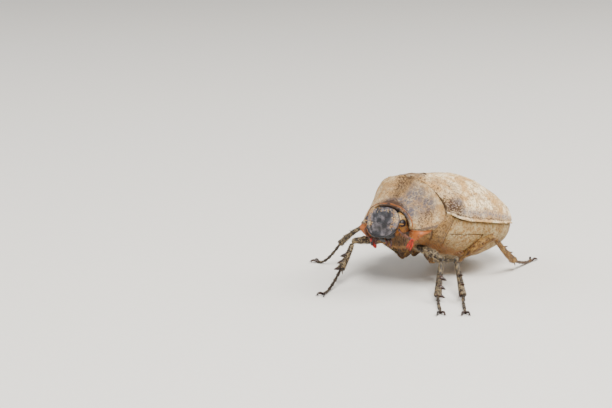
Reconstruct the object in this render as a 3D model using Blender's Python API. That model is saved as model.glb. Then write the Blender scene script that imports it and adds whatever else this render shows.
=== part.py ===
"""Adult of the sugarcane white grub: a large scarab beetle, life size, standing still on its six feet.

-Y is forwards, +X is the beetle's left and +Z is up. The trunk is built level about the waist, where
the pronotum meets the wing cases, and is then pitched nose up. The legs are built where they stand.
"""

import bmesh
import bpy
import numpy as np
from mathutils import Euler, Vector

MM = 0.001
GAP = 0.3 * MM

# Stance: the floor under the waist is the place that feet and knees are measured from
NOSE_UP = np.radians(13.0)
LEFT_SIDE_UP = np.radians(4.5)
TRUNK_TURN = Euler((-NOSE_UP, -LEFT_SIDE_UP, 0))
WAIST = Vector((0.28, -3.32, 12.8)) * MM

# Trunk sizes, measured from the waist in the level trunk
ELYTRON_LENGTH = 23.2 * MM
ELYTRON_HALF_WIDTH = 10.3 * MM
ELYTRON_HEIGHT = 8.8 * MM
ELYTRON_THICKNESS = 0.6 * MM
SHOULDER_BULGE = 0.65 * MM
BELLY_DEPTH = 8.0 * MM
THORAX_LENGTH = 10.0 * MM
BELLY_PLATES = 5
PRONOTUM_LENGTH = 8.6 * MM
PRONOTUM_HALF_WIDTH = 8.4 * MM
PRONOTUM_HEIGHT = 6.3 * MM
PROSTERNUM_DEPTH = 3.6 * MM
SCUTELLUM_LENGTH = 2.6 * MM
SCUTELLUM_HALF_WIDTH = 2.5 * MM

# The waist's joint slants forwards above a level, leans forwards below one at the sides, and is lobed
WAIST_GAP = 0.5 * MM
SLANT_LEVEL = 0.9 * MM
WAIST_SLANT = 0.7
LEAN_TOP = 2.6 * MM
LEAN_DROP = 5.6 * MM
LOBE_LENGTH = 2.0 * MM
LOBE_HALF_WIDTH = 2.8 * MM

# Head, measured from the neck, which is a place in the level trunk
NECK = Vector((-0.3, -6.5, -1.0)) * MM
HEAD_TURN = np.radians(6.0)
HEAD_ROLL = np.radians(-0.5)
FACE_TOP = np.array([0.0, -2.2, 2.45]) * MM
FACE_LOW = np.array([0.0, -2.95, -2.55]) * MM
EYE = np.array([3.98, -2.0, -0.3]) * MM

# Each leg: the hip in the level trunk, then knee, ankle and toe from the floor under the waist
LEGS = {
    "front_left": ((2.6, -3.6, -5.2), (9.4, -3.1, 6.6), (12.9, -8.6, 1.2), (17.8, -14.0, 0)),
    "front_right": ((-2.6, -3.6, -5.2), (-9.0, -7.5, 7.7), (-7.6, -12.9, 3.4), (-6.0, -19.8, 0)),
    "middle_left": ((3.4, 2.2, -8.2), (10.8, -0.4, 6.3), (16.2, -5.2, 1.2), (21.2, -11.0, 0)),
    "middle_right": ((-3.4, 2.2, -8.2), (-10.2, -2.4, 9.9), (-16.2, -3.2, 5.0), (-21.9, -3.8, 0)),
    "hind_left": ((5.4, 8.2, -7.7), (11.5, 10.6, 8.7), (11.4, 17.9, 2.3), (9.8, 26.4, 0)),
    "hind_right": ((-5.4, 8.2, -7.7), (-11.4, 11.0, 8.5), (-12.4, 18.2, 2.0), (-12.6, 26.6, 0)),
}
FEMUR_RADIUS = {"front": 1.0 * MM, "middle": 1.0 * MM, "hind": 1.25 * MM}
KNEE_SHARE = 0.72
TIBIA_RADIUS = {"front": 0.62 * MM, "middle": 0.6 * MM, "hind": 0.66 * MM}
TARSUS_RADIUS = 0.32 * MM
CLAW_LENGTH = 1.5 * MM

CUTICLE = {
    "scaled_cream": ("#c9b99a", 0.62),
    "scaled_grey": ("#9c9184", 0.6),
    "slate": ("#4a4a52", 0.42),
    "khaki": ("#a89572", 0.66),
    "dusky_leg": ("#6e675c", 0.55),
    "claw_brown": ("#3a2418", 0.35),
    "eye_black": ("#17100e", 0.12),
    "club_red": ("#b3391f", 0.4),
}


def clear_scene():
    for item in list(bpy.data.objects):
        bpy.data.objects.remove(item)


def linear(hex_colour):
    """The sRGB hex colour as linear red, green, blue and alpha."""
    srgb = np.array([int(hex_colour[i : i + 2], 16) for i in (1, 3, 5)]) / 255.0
    rgb = np.where(srgb <= 0.04045, srgb / 12.92, ((srgb + 0.055) / 1.055) ** 2.4)
    return (*rgb.tolist(), 1.0)


def cuticle(slot):
    """One material for each kind of cuticle, made the first time that it is asked for."""
    if slot in bpy.data.materials:
        return bpy.data.materials[slot]
    colour, roughness = CUTICLE[slot]
    made = bpy.data.materials.new(slot)
    made.use_nodes = True
    shader = made.node_tree.nodes["Principled BSDF"]
    shader.inputs["Base Color"].default_value = linear(colour)
    shader.inputs["Roughness"].default_value = roughness
    shader.inputs["Metallic"].default_value = 0.0
    return made


def profile(stations, values):
    """A smooth function through the given values: cubic pieces whose slopes never overshoot."""
    at, to = np.array(stations, float), np.array(values, float)
    secant = np.diff(to) / np.diff(at)
    slope = np.zeros_like(to)
    same_way = secant[:-1] * secant[1:] > 0
    total = np.where(same_way, secant[:-1] + secant[1:], 1.0)
    slope[1:-1] = np.where(same_way, 2 * secant[:-1] * secant[1:] / total, 0.0)
    slope[0], slope[-1] = secant[0], secant[-1]

    def value(t):
        t = np.clip(np.asarray(t, float), at[0], at[-1])
        i = np.clip(np.searchsorted(at, t) - 1, 0, len(secant) - 1)
        step = at[i + 1] - at[i]
        u = (t - at[i]) / step
        return (
            to[i] * (1 + 2 * u) * (1 - u) ** 2
            + slope[i] * step * u * (1 - u) ** 2
            + to[i + 1] * u**2 * (3 - 2 * u)
            + slope[i + 1] * step * u**2 * (u - 1)
        )

    return value


def mesh_object(name, points, faces, slot, smooth=True):
    """A named object from points and faces, with its faces turned to point outwards."""
    mesh = bpy.data.meshes.new(name)
    mesh.from_pydata([tuple(p) for p in np.asarray(points, float)], [], faces)
    work = bmesh.new()
    work.from_mesh(mesh)
    bmesh.ops.recalc_face_normals(work, faces=work.faces)
    if work.calc_volume(signed=True) < 0:
        bmesh.ops.reverse_faces(work, faces=work.faces)
    work.to_mesh(mesh)
    work.free()
    if smooth:
        mesh.shade_smooth()
    mesh.materials.append(cuticle(slot))
    made = bpy.data.objects.new(name, mesh)
    bpy.context.scene.collection.objects.link(made)
    return made


def loft(name, rings, slot, shell=False):
    """A closed solid through rings of equally many points.

    Each end is closed to its ring's centre, or in a shell, whose rings run out along its outer side and
    back along its inner side, by a strip between the two.
    """
    rings = [np.asarray(ring, float) for ring in rings]
    around = len(rings[0])
    points = np.concatenate([*rings, [rings[0].mean(0)], [rings[-1].mean(0)]])
    faces = []
    for i in range(len(rings) - 1):
        for j in range(around):
            k = (j + 1) % around
            a, b = i * around, (i + 1) * around
            faces.append((a + j, a + k, b + k, b + j))
    last = (len(rings) - 1) * around
    if shell:
        points = points[:-2]
        for j in range(around // 2 - 1):
            strip = (j + 1, j, around - 1 - j, around - 2 - j)
            faces.append(strip)
            faces.append(tuple(last + k for k in strip[::-1]))
        return mesh_object(name, points, faces, slot)
    for j in range(around):
        k = (j + 1) % around
        faces.append((k, j, len(points) - 2))
        faces.append((last + j, last + k, len(points) - 1))
    return mesh_object(name, points, faces, slot)


def fuse(name, pieces, slot):
    """One closed body from overlapping pieces: a Boolean union, of which the largest surface is kept."""
    group = bpy.data.collections.new(name + "_pieces")
    for piece in pieces[1:]:
        group.objects.link(piece)
    body = pieces[0]
    union = body.modifiers.new("union", "BOOLEAN")
    union.operation = "UNION"
    union.solver = "EXACT"
    union.operand_type = "COLLECTION"
    union.collection = group
    apply_modifiers(body)
    for piece in pieces[1:]:
        bpy.data.objects.remove(piece)
    bpy.data.collections.remove(group)
    body.name = name
    body.data.materials.clear()
    body.data.materials.append(cuticle(slot))
    keep_largest(body)
    return body


def cut(body, tools):
    """The body less each tool, which is removed."""
    for tool in tools:
        difference = body.modifiers.new("cut", "BOOLEAN")
        difference.operation = "DIFFERENCE"
        difference.solver = "EXACT"
        difference.object = tool
        apply_modifiers(body)
        bpy.data.objects.remove(tool)
    keep_largest(body)
    return body


def apply_modifiers(body):
    graph = bpy.context.evaluated_depsgraph_get()
    graph.update()
    mesh = bpy.data.meshes.new_from_object(body.evaluated_get(graph))
    body.modifiers.clear()
    body.data = mesh


def keep_largest(body):
    """Drops every loose surface but the one with the most volume."""
    work = bmesh.new()
    work.from_mesh(body.data)
    bmesh.ops.remove_doubles(work, verts=work.verts, dist=0.002 * MM)
    left, groups = set(work.faces), []
    while left:
        group, edge = set(), [left.pop()]
        while edge:
            face = edge.pop()
            group.add(face)
            near = {f for e in face.edges for f in e.link_faces} & left
            left -= near
            edge.extend(near)
        volume = 0.0
        for face in group:
            a = face.verts[0].co
            for b, c in zip(face.verts[1:-1], face.verts[2:]):
                volume += a.dot(b.co.cross(c.co)) / 6
        groups.append((volume, group))
    groups.sort(key=lambda pair: pair[0])
    loose = [face for _, group in groups[:-1] for face in group]
    bmesh.ops.delete(work, geom=loose, context="FACES")
    work.to_mesh(body.data)
    work.free()


def oval(width, height, top_power, side_power, angles):
    """Points x, z on a superellipse at the given angles, from the width's end at angle 0."""
    c, s = np.cos(angles), np.sin(angles)
    x = width * np.sign(c) * np.abs(c) ** side_power
    return np.stack([x, height * np.sign(s) * np.abs(s) ** top_power], 1)


def tube(name, path, radii, slot, sides=10, flat=1.0, up=(0, 0, 1)):
    """A closed tube along the path; flat is its thickness over its breadth, and breadth lies across up."""
    path = np.asarray(path, float)
    radii = np.broadcast_to(np.asarray(radii, float), len(path))
    along = np.gradient(path, axis=0)
    along /= np.linalg.norm(along, axis=1)[:, None]
    side = np.cross(along, np.asarray(up, float))
    side /= np.linalg.norm(side, axis=1)[:, None]
    over = np.cross(side, along)
    turn = np.linspace(0, 2 * np.pi, sides, endpoint=False)
    rings = [
        p + r * (np.cos(turn)[:, None] * s + flat * np.sin(turn)[:, None] * o)
        for p, r, s, o in zip(path, radii, side, over)
    ]
    return loft(name, rings, slot)


def ball(name, centre, half, slot, columns=14, rows=8):
    """A closed ellipsoid with its half sizes along X, Y and Z."""
    turn = np.linspace(0, 2 * np.pi, columns, endpoint=False)
    rings = []
    for lift in np.linspace(-np.pi / 2, np.pi / 2, rows + 1)[1:-1]:
        ring = np.stack(
            [np.cos(lift) * np.cos(turn), np.cos(lift) * np.sin(turn), np.full(columns, np.sin(lift))], 1
        )
        rings.append(np.asarray(centre) + ring * np.asarray(half))
    return loft(name, rings, slot)


# How the trunk's sections change from the front of a plate to its rear, as shares of its sizes
elytron_width = profile(
    [0, 0.05, 0.15, 0.4, 0.65, 0.8, 0.9, 0.96, 1], [0.89, 0.915, 0.935, 0.97, 1, 0.95, 0.82, 0.64, 0.4]
)
elytron_height = profile(
    [0, 0.1, 0.3, 0.45, 0.7, 0.85, 0.94, 1], [0.73, 0.895, 1.0, 1.01, 0.81, 0.575, 0.355, 0.13]
)
elytron_level = profile([0, 0.1, 0.25, 1], [1.4 * MM, 0.6 * MM, 0.15 * MM, 0.3 * MM])
belly_depth = profile([0, 0.12, 0.35, 0.55, 0.75, 0.9, 1], [0.76, 0.84, 0.93, 0.94, 0.8, 0.62, 0.48])
pronotum_width = profile([0, 0.2, 0.4, 0.6, 0.8, 1], [0.67, 0.79, 0.88, 0.945, 0.985, 1])
pronotum_height = profile([0, 0.25, 0.5, 0.75, 1], [0.68, 0.94, 1.18, 1.38, 1.5])
pronotum_level = profile([0, 0.3, 0.6, 1], [-2.3 * MM, -2.3 * MM, -2.15 * MM, -1.9 * MM])
pronotum_fullness = profile([0, 0.2, 0.5, 0.8, 1], [0, 0.05, 0.6, 0.97, 1])
prosternum_depth = profile([0, 0.3, 0.7, 1], [0.72, 0.95, 1, 0.85])

# Powers of the sections' superellipses, upwards and sideways; the pronotum's get fuller to the rear
WING_POWERS = (0.9, 0.98)
BELLY_POWERS = (0.95, 0.8)
PRONOTUM_POWERS = (0.9, 0.88)
PRONOTUM_FULLER = 0.2
PROSTERNUM_POWERS = (0.9, 1.25)


def waist_shift(x, z):
    """How far behind the plane of the waist its joint lies at the offset x and the height z.

    Above the shoulders the joint slants forwards, with a lobe back to the scutellum in the middle. Below
    them, at the sides, it leans forwards under the pronotum's hind corners.
    """
    lobe = LOBE_LENGTH * np.exp(-((x / LOBE_HALF_WIDTH) ** 2)) * np.clip(z / (3 * MM), 0, 1)
    drop = np.clip(LEAN_TOP - z, 0, LEAN_DROP)
    aside = np.clip((np.abs(x) - 3 * MM) / (3 * MM), 0, 1)
    lean = (0.3 * drop + 0.14 * drop**2 / MM) * aside**2 * (3 - 2 * aside)
    return lobe - WAIST_SLANT * np.clip(z - SLANT_LEVEL, 0, None) - lean


def behind_waist(t, x, z):
    """Y at the share t of the wing cases' length: their base keeps a gap behind the slanting joint."""
    return ELYTRON_LENGTH * t + (1 - t) ** 8 * (WAIST_GAP + waist_shift(x, z))


def wall(t):
    """The wing cases' thickness in the section at the share t, more where they slope down behind."""
    return ELYTRON_THICKNESS * (1 + 0.6 * t**8)


def back_surface(t, x, sink=0.0):
    """Height of the wing cases' surface at the share t of their length and the offset x, sunk by a depth."""
    width = ELYTRON_HALF_WIDTH * elytron_width(t) - sink
    height = ELYTRON_HEIGHT * elytron_height(t) - sink
    cosine = np.clip(np.abs(x) / width, 0, 1) ** (1 / WING_POWERS[1])
    return elytron_level(t) + height * np.sqrt(1 - cosine**2) ** WING_POWERS[0]


def elytron(side):
    """One wing case: a ridged shell from the side margin to the seam, with a bulge at the shoulder."""
    rings = []
    shares = np.array([0, 0.05, 0.16, 0.27, 0.34, 0.41, 0.5, 0.57, 0.64, 0.74, 0.82, 0.9, 1])
    ridges = np.array([0.1, 0, 0, 0, 0.12, 0, 0, 0.12, 0, 0, 0.12, 0, 0.1]) * MM
    for t in np.concatenate([np.linspace(0, 0.88, 12), [0.94, 0.98, 1]]):
        along = ELYTRON_LENGTH * t
        seam = GAP / 2 + (SCUTELLUM_HALF_WIDTH + GAP / 2) * np.sqrt(
            np.clip(1 - (along / (SCUTELLUM_LENGTH + GAP)) ** 2, 0, 1)
        )
        outer_width = ELYTRON_HALF_WIDTH * elytron_width(t)
        outer_height = ELYTRON_HEIGHT * elytron_height(t)
        ring = []
        for sink, order in ((0.0, 1), (wall(t), -1)):
            width, height = outer_width - sink, max(outer_height - sink, 0.25 * MM)
            last = np.arccos((seam / width) ** (1 / WING_POWERS[1]))
            angles = last * shares
            raised = SHOULDER_BULGE * np.exp(-(((t - 0.09) / 0.09) ** 2) - ((angles - 0.24) / 0.22) ** 2)
            if order > 0:
                raised += ridges * np.sin(np.pi * t) ** 0.5
            arc = oval(width, height, *WING_POWERS, angles)
            arc += np.stack([np.cos(angles), np.sin(angles)], 1) * raised[:, None]
            arc[:, 1] += elytron_level(t)
            ring.append(arc[::order])
        ring = np.concatenate(ring)
        rings.append(np.stack([side * ring[:, 0], behind_waist(t, *ring.T), ring[:, 1]], 1))
    name = "elytron_left" if side > 0 else "elytron_right"
    return loft(name, rings, "scaled_cream", shell=True)


def trunk_ring(t, groove=0.0):
    """The trunk's section: an arc that the wing cases cover, a shelf below their edge, then the belly."""
    inset = wall(t) + GAP * (1 + 1.6 * t**8)
    width, height = ELYTRON_HALF_WIDTH * elytron_width(t), ELYTRON_HEIGHT * elytron_height(t)
    top = oval(width - inset, max(height - inset, 0.2 * MM), *WING_POWERS, np.linspace(0, np.pi, 13))
    depth = BELLY_DEPTH * belly_depth(t) - groove
    low = oval(width - 0.4 * MM - groove, depth, *BELLY_POWERS, np.linspace(np.pi, 2 * np.pi, 25))
    low[:, 1] -= GAP
    shelf = np.array([[inset - width, -GAP]])
    ring = np.concatenate([top, shelf, low, -shelf * (1, -1)])
    ring[:, 1] += elytron_level(t)
    return np.stack([ring[:, 0], behind_waist(t, *ring.T), ring[:, 1]], 1)


def waist_face(ring, share, behind):
    """The ring drawn in to a share of its size, at a distance behind the waist's lobed joint."""
    middle = ring.mean(0)
    drawn = middle + (ring - middle) * share
    drawn[:, 1] = behind + waist_shift(drawn[:, 0], drawn[:, 2])
    return drawn


def thorax():
    """Middle and hind thorax, from the waist to the hind coxae."""
    first = trunk_ring(0.0)
    rings = [waist_face(first, share, WAIST_GAP + 0.3 * MM) for share in (0.2, 0.4, 0.6, 0.78, 0.92)]
    rings += [trunk_ring(t) for t in np.linspace(0, THORAX_LENGTH / ELYTRON_LENGTH, 8)]
    shell = loft("thorax", rings, "khaki")
    hips = [coxa(leg, 1.5 * MM) for leg in LEGS if not leg.startswith("front")]
    return fuse("thorax", [shell, *hips], "khaki")


def abdomen():
    """The abdomen behind the hind coxae, up to the pygidium, with a groove between two belly plates."""
    first, last = THORAX_LENGTH + GAP, ELYTRON_LENGTH - 0.8 * MM
    plate = (last - first) / BELLY_PLATES
    rings = []
    for i in range(BELLY_PLATES):
        start = first + plate * i
        rings.append(trunk_ring(start / ELYTRON_LENGTH, 0.25 * MM))
        rings.append(trunk_ring((start + 0.35 * MM) / ELYTRON_LENGTH))
        rings.append(trunk_ring((start + plate - 0.15 * MM) / ELYTRON_LENGTH, -0.05 * MM))
    rings.append(trunk_ring(last / ELYTRON_LENGTH))
    return loft("abdomen", rings, "khaki")


def pygidium():
    """The shield that closes the body behind and below the wing cases."""
    start = ELYTRON_LENGTH - 0.8 * MM + GAP
    rings = []
    for share in np.linspace(0, 1, 7):
        size = np.sqrt(1 - (0.985 * share) ** 2)
        ring = oval(5.1 * MM * size, 2.4 * MM * size, 1, 0.9, np.linspace(0, 2 * np.pi, 24, endpoint=False))
        rings.append(np.stack([ring[:, 0], np.full(24, start + 1.5 * MM * share), ring[:, 1] - 2.4 * MM], 1))
    return loft("pygidium", rings, "khaki")


def scutellum():
    """The half-round shield between the bases of the wing cases."""
    rings = []
    for share in np.linspace(0, 0.97, 7):
        along = SCUTELLUM_LENGTH * share
        half = SCUTELLUM_HALF_WIDTH * np.sqrt(1 - share**2)
        x = np.linspace(-half, half, 9)
        t = along / ELYTRON_LENGTH
        top = np.stack([x, back_surface(t, x)], 1)
        under = np.stack([x, back_surface(t, x, ELYTRON_THICKNESS)], 1)[::-1]
        ring = np.concatenate([top, under])
        rings.append(np.stack([ring[:, 0], behind_waist(t, *ring.T), ring[:, 1]], 1))
    return loft("scutellum", rings, "scaled_cream", shell=True)


def prothorax():
    """Pronotum and prosternum: sharp side margins, lobed behind, hollowed in front for the head."""
    rings = []
    angles = np.linspace(0, 2 * np.pi, 44, endpoint=False)
    for t in np.linspace(0, 1, 10):
        width = PRONOTUM_HALF_WIDTH * pronotum_width(t)
        fuller = 1 - PRONOTUM_FULLER * pronotum_fullness(t)
        powers = [power * fuller for power in PRONOTUM_POWERS]
        over = oval(width, PRONOTUM_HEIGHT * pronotum_height(t), *powers, angles)
        under = oval(width, PROSTERNUM_DEPTH * prosternum_depth(t), *PROSTERNUM_POWERS, angles)
        ring = np.where((np.sin(angles) >= 0)[:, None], over, under)
        ring[:, 1] += pronotum_level(t)
        along = -PRONOTUM_LENGTH * (1 - t) + t * waist_shift(*ring.T)
        along += (1 - t) ** 3 * 1.1 * MM * np.abs(ring[:, 0] / width) ** 2
        along += (1 - t) ** 2 * 1.4 * MM * np.clip(-np.sin(angles), 0, 1)
        rings.append(np.stack([ring[:, 0], along, ring[:, 1]], 1))
    first, last = rings[0], rings[-1]
    floor = 2.4 * MM - PRONOTUM_LENGTH
    mouth = []
    for share, deep in ((0.4, 1.0), (0.9, 0.85), (0.95, 0.05)):
        ring = first.mean(0) + (first - first.mean(0)) * share
        ring[:, 1] = first[:, 1] * (1 - deep) + floor * deep
        mouth.append(ring)
    waist = [waist_face(last, share, -0.55 * MM) for share in (0.92, 0.8, 0.65, 0.45, 0.2)]
    shell = loft("prothorax", mouth + rings + waist, "scaled_grey")
    cones = [coxa("front_left", 1.25 * MM), coxa("front_right", 1.25 * MM)]
    return fuse("prothorax", [shell, *cones], "scaled_grey")


def coxa(leg, radius):
    """The short cone that a leg hangs on: its root is deep in the trunk and its tip is the hip."""
    hip = np.array(LEGS[leg][0]) * MM
    root = hip + np.array([-0.2 * np.sign(hip[0]), 0.2, 2.6]) * MM
    path = [root, root * 0.5 + hip * 0.5, hip * 0.85 + root * 0.15, hip]
    return tube("coxa_" + leg, path, np.array([1.1, 1.1, 0.85, 0.45]) * radius, "khaki", 12, up=(0, 1, 0))


def head():
    """Head capsule with its clypeus, mandibles, labium and palps, in the head's own frame."""
    down = FACE_LOW - FACE_TOP
    out = np.array([0.0, down[2], -down[1]]) / np.linalg.norm(down)
    stations = np.array([0, 0.08, 0.2, 0.35, 0.5, 0.64, 0.7, 0.8, 0.9, 0.97, 1])
    half = np.array([1.9, 2.8, 3.3, 3.45, 3.5, 3.45, 3.4, 3.2, 2.85, 2.4, 1.95]) * MM
    front = np.array([0.1, 0.55, 0.8, 0.88, 0.85, 0.72, 0.66, 0.6, 0.58, 0.62, 0.5]) * MM
    back = np.array([0.4, 1.0, 1.4, 1.5, 1.5, 1.4, 1.3, 1.0, 0.6, 0.3, 0.2]) * MM
    angles = np.linspace(0, 2 * np.pi, 24, endpoint=False)
    rings = []
    for s, w, f, b in zip(stations, half, front, back):
        depth = np.where(np.sin(angles) >= 0, f, b) * np.sign(np.sin(angles)) * np.abs(np.sin(angles)) ** 0.7
        across = w * np.sign(np.cos(angles)) * np.abs(np.cos(angles)) ** 0.75
        rings.append(FACE_TOP + down * s + across[:, None] * np.array([1, 0, 0]) + depth[:, None] * out)
    capsule = loft("head", rings, "slate")
    chin = ball("chin", np.array([0, -2.2, -3.2]) * MM, np.array([1.9, 0.95, 0.9]) * MM, "slate")
    pieces = [capsule, chin]
    for side in (-1, 1):
        place = np.array([side * 1.6, -2.4, -3.0]) * MM
        jaw = ball("jaw", place, np.array([0.75, 0.7, 0.75]) * MM, "slate", 10, 6)
        palp = np.array([[1.3, -2.2, -3.5], [2.1, -2.5, -4.3], [2.2, -2.8, -5.0], [1.8, -3.0, -5.6]]) * MM
        palp[:, 0] *= side
        feeler = tube("palp", palp, np.array([0.26, 0.27, 0.3, 0.2]) * MM, "slate", 8, up=(1, 0, 0))
        pieces += [jaw, feeler]
    return fuse("head", pieces, "slate")


def eye(side):
    """One compound eye, beside the head capsule."""
    made = ball("eye", EYE * (side, 1, 1), np.array([0.42, 0.85, 1.0]) * MM, "eye_black", 12, 7)
    made.name = "eye_left" if side > 0 else "eye_right"
    return made


def antenna(side):
    """Scape and beaded funicle that carry a club of three flat leaves."""
    if side > 0:
        stem = np.array([[3.7, -8.9, -2.4], [5.05, -9.2, -3.2], [6.3, -9.2, -3.7], [7.4, -9.1, -4.05]]) * MM
        tip = np.array([7.5, -9.5, -6.05]) * MM
    else:
        stem = np.array([[-4.05, -8.9, -2.5], [-4.55, -8.8, -3.4], [-4.2, -8.4, -4.3], [-3.4, -8.1, -4.9]]) * MM
        tip = np.array([-2.2, -7.9, -6.6]) * MM
    t = np.linspace(0, 1, 13)
    path = np.stack([profile([0, 0.33, 0.67, 1], stem[:, k] / MM)(t) * MM for k in range(3)], 1)
    radii = np.where(np.arange(13) % 2 == 0, 0.25, 0.29) * MM
    pieces = [tube("stem", path, radii, "club_red", 6, up=(0, 1, 0.2))]
    length = np.linalg.norm(tip - path[-1])
    along = (tip - path[-1]) / length
    across = np.cross(along, (0, 1, 0))
    across /= np.linalg.norm(across)
    for leaf in (-1, 0, 1):
        lean = along + across * 0.09 * leaf
        start = path[-1] - along * 0.1 * MM
        line = [start + lean * length * s + across * leaf * 0.16 * MM for s in (0, 0.3, 0.6, 0.85, 1)]
        pieces.append(
            tube("leaf", line, np.array([0.28, 0.42, 0.46, 0.38, 0.16]) * MM, "club_red", 6, 0.42, up=across)
        )
    name = "antenna_left" if side > 0 else "antenna_right"
    return fuse(name, pieces, "club_red")


def joints_of(leg):
    """Hip, knee, ankle and toe in the world."""
    hip, knee, ankle, toe = (np.array(place) * MM for place in LEGS[leg])
    ground = np.array([WAIST.x, WAIST.y, 0])
    hip = np.array(TRUNK_TURN.to_matrix()) @ hip + np.array(WAIST)
    return hip, knee + ground, ankle + ground, toe + ground


def unit(vector):
    return vector / np.linalg.norm(vector)


def spike(root, tip, radius, slot, sides=6):
    """A tapering spine whose root is sunk in what carries it."""
    root, tip = np.asarray(root), np.asarray(tip)
    path = [root, root * 0.5 + tip * 0.5, tip]
    up = (0, 0, 1) if abs(unit(tip - root)[2]) < 0.8 else (0, 1, 0)
    return tube("spike", path, np.array([1, 0.75, 0.2]) * radius, slot, sides, up=up)


def femur(leg, spare=0.0):
    """A flattened spindle from the hip to the round knee; a cutter is larger all round by a spare radius."""
    hip, knee, _, _ = joints_of(leg)
    pair = leg.split("_")[0]
    along = unit(knee - hip)
    start = hip + along * (1.0 * MM - spare)
    share = np.array([0, 0.04, 0.1, 0.2, 0.35, 0.5, 0.68, 0.84, 0.93, 0.98, 1])
    stations = [0, 0.04, 0.1, 0.35, 0.6, 0.84, 0.95, 1]
    swell = profile(stations, [0.35, 0.52, 0.6, 1, 0.95, KNEE_SHARE, 0.7, 0.3])
    bend = np.sin(np.pi * share)[:, None] * np.array([0, 0, 0.3 * MM])
    end = knee + along * (0.35 * MM + spare)
    path = start + (end - start) * share[:, None] + bend
    radii = FEMUR_RADIUS[pair] * swell(share) + spare
    return tube("leg_" + leg + "_femur", path, radii, "dusky_leg", 12, 0.78)


def tibia(leg):
    """Tibia: widening to its end, with two spurs there, and teeth on the outer edge of a front leg."""
    hip, knee, ankle, toe = joints_of(leg)
    pair = leg.split("_")[0]
    along = unit(ankle - knee)
    start = knee + along * (KNEE_SHARE * FEMUR_RADIUS[pair] + 0.05 * MM)
    share = np.array([0, 0.03, 0.1, 0.3, 0.55, 0.8, 0.93, 0.98, 1])
    size = profile([0, 0.05, 0.15, 0.6, 0.85, 0.97, 1], [0.45, 0.75, 0.8, 1, 1.15, 1.25, 0.8])(share)
    bow = np.sin(np.pi * share)[:, None] * unit(np.cross(along, np.cross(toe - ankle, along))) * -0.25 * MM
    path = start + (ankle - start) * share[:, None] + bow
    body = tube("tibia", path, TIBIA_RADIUS[pair] * size, "dusky_leg", 10, 0.85)
    inner = unit(np.cross(along, np.cross(hip - knee, along)))
    side = unit(np.cross(along, inner))
    pieces = [body]
    for sign in (-1, 1):
        root = ankle - along * 0.35 * MM + side * sign * 0.3 * MM
        tip = ankle + along * 0.5 * MM + inner * 0.35 * MM + side * sign * 0.95 * MM
        tip[2] = max(tip[2], 0.12 * MM)
        pieces.append(spike(root, tip, 0.26 * MM, "dusky_leg"))
    if pair == "front":
        for place in (0.5, 0.74, 0.96):
            root = knee + (ankle - knee) * place
            tip = root - inner * 1.45 * MM + along * 0.55 * MM
            pieces.append(spike(root, tip, 0.42 * MM, "dusky_leg"))
    else:
        for place in (0.45, 0.7):
            root = knee + (ankle - knee) * place
            pieces.append(spike(root, root - inner * 1.0 * MM + along * 0.5 * MM, 0.3 * MM, "dusky_leg"))
    return fuse("leg_" + leg + "_tibia", pieces, "dusky_leg")


def tarsus(leg):
    """Five beaded segments that come down to the floor, and two claws with a tooth each."""
    _, knee, ankle, toe = joints_of(leg)
    along = unit(toe - ankle)
    start = ankle + along * GAP
    reach = np.linalg.norm(toe - start)
    settle = 0.45 if ankle[2] < 2 * MM else 0.85
    share, size = [], []
    ends = [0, 0.19, 0.35, 0.51, 0.67, 1]
    for a, b in zip(ends, ends[1:]):
        share += [a + 0.01, b - 0.045, b - 0.01]
        size += [0.74, 1.12, 1.0]
    share, size = np.array(share), np.array(size)
    path = start + (toe - start) * share[:, None]
    fall = np.clip(share / settle, 0, 1)
    lowest = TARSUS_RADIUS - 0.06 * MM
    path[:, 2] = lowest + (start[2] - lowest) * (1 - fall) ** 1.5
    body = tube("tarsus", path, TARSUS_RADIUS * size, "dusky_leg", 8)
    flat_way = unit(np.array([along[0], along[1], 0]))
    side = np.array([-flat_way[1], flat_way[0], 0])
    pieces = [body]
    for sign in (-1, 1):
        bend = np.linspace(0, 1, 4)
        claw = []
        for b in bend:
            forth = flat_way * CLAW_LENGTH * (b - 0.15)
            aside = side * sign * (0.12 + 0.75 * b**0.8) * MM
            rise = np.array([0, 0, 0.35 * np.sin(np.pi * b) - 0.1 * b]) * MM
            claw.append(path[-1] + forth + aside + rise)
        pieces.append(tube("claw", claw, np.array([0.25, 0.25, 0.2, 0.06]) * MM, "claw_brown", 6))
        tooth_tip = claw[2] + side * -sign * 0.1 * MM + flat_way * 0.15 * MM - np.array([0, 0, 0.5 * MM])
        pieces.append(spike(claw[2], tooth_tip, 0.18 * MM, "claw_brown", 5))
    made = fuse("leg_" + leg + "_tarsus", pieces, "claw_brown")
    for vertex in made.data.vertices:
        vertex.co.z = max(vertex.co.z, 0.0)
    return made


def main():
    clear_scene()
    pose = bpy.data.objects.new("trunk_pose", None)
    bpy.context.scene.collection.objects.link(pose)
    pose.location = WAIST
    pose.rotation_euler = TRUNK_TURN
    neck = bpy.data.objects.new("head_pose", None)
    bpy.context.scene.collection.objects.link(neck)
    neck.parent = pose
    neck.location = NECK
    neck.rotation_euler = (0, HEAD_ROLL, HEAD_TURN)
    for piece in (head(), eye(1), eye(-1)):
        piece.parent = neck
    wing_cases = [scutellum(), elytron(1), elytron(-1)]
    neck_shield, belly = prothorax(), [thorax(), abdomen()]
    for piece in [neck_shield, *belly, pygidium(), antenna(1), antenna(-1), *wing_cases]:
        piece.parent = pose
    bpy.context.view_layer.update()
    for leg in LEGS:
        for piece in [neck_shield, belly[0]] if leg.startswith("front") else belly:
            cut(piece, [femur(leg, GAP)])
        femur(leg)
        tibia(leg)
        tarsus(leg)


main()
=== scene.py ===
"""Adult of the sugarcane white grub, dressed for the camera: a large scaly scarab beetle on a pale floor.

-Y is forwards, +X is the beetle's left and +Z is up. Plates of the trunk are worked out level about the
waist, where pronotum and wing cases meet, and are then pitched and rolled as the beetle stands.
"""

import bpy
import numpy as np
from mathutils import Euler, Matrix, Vector


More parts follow.
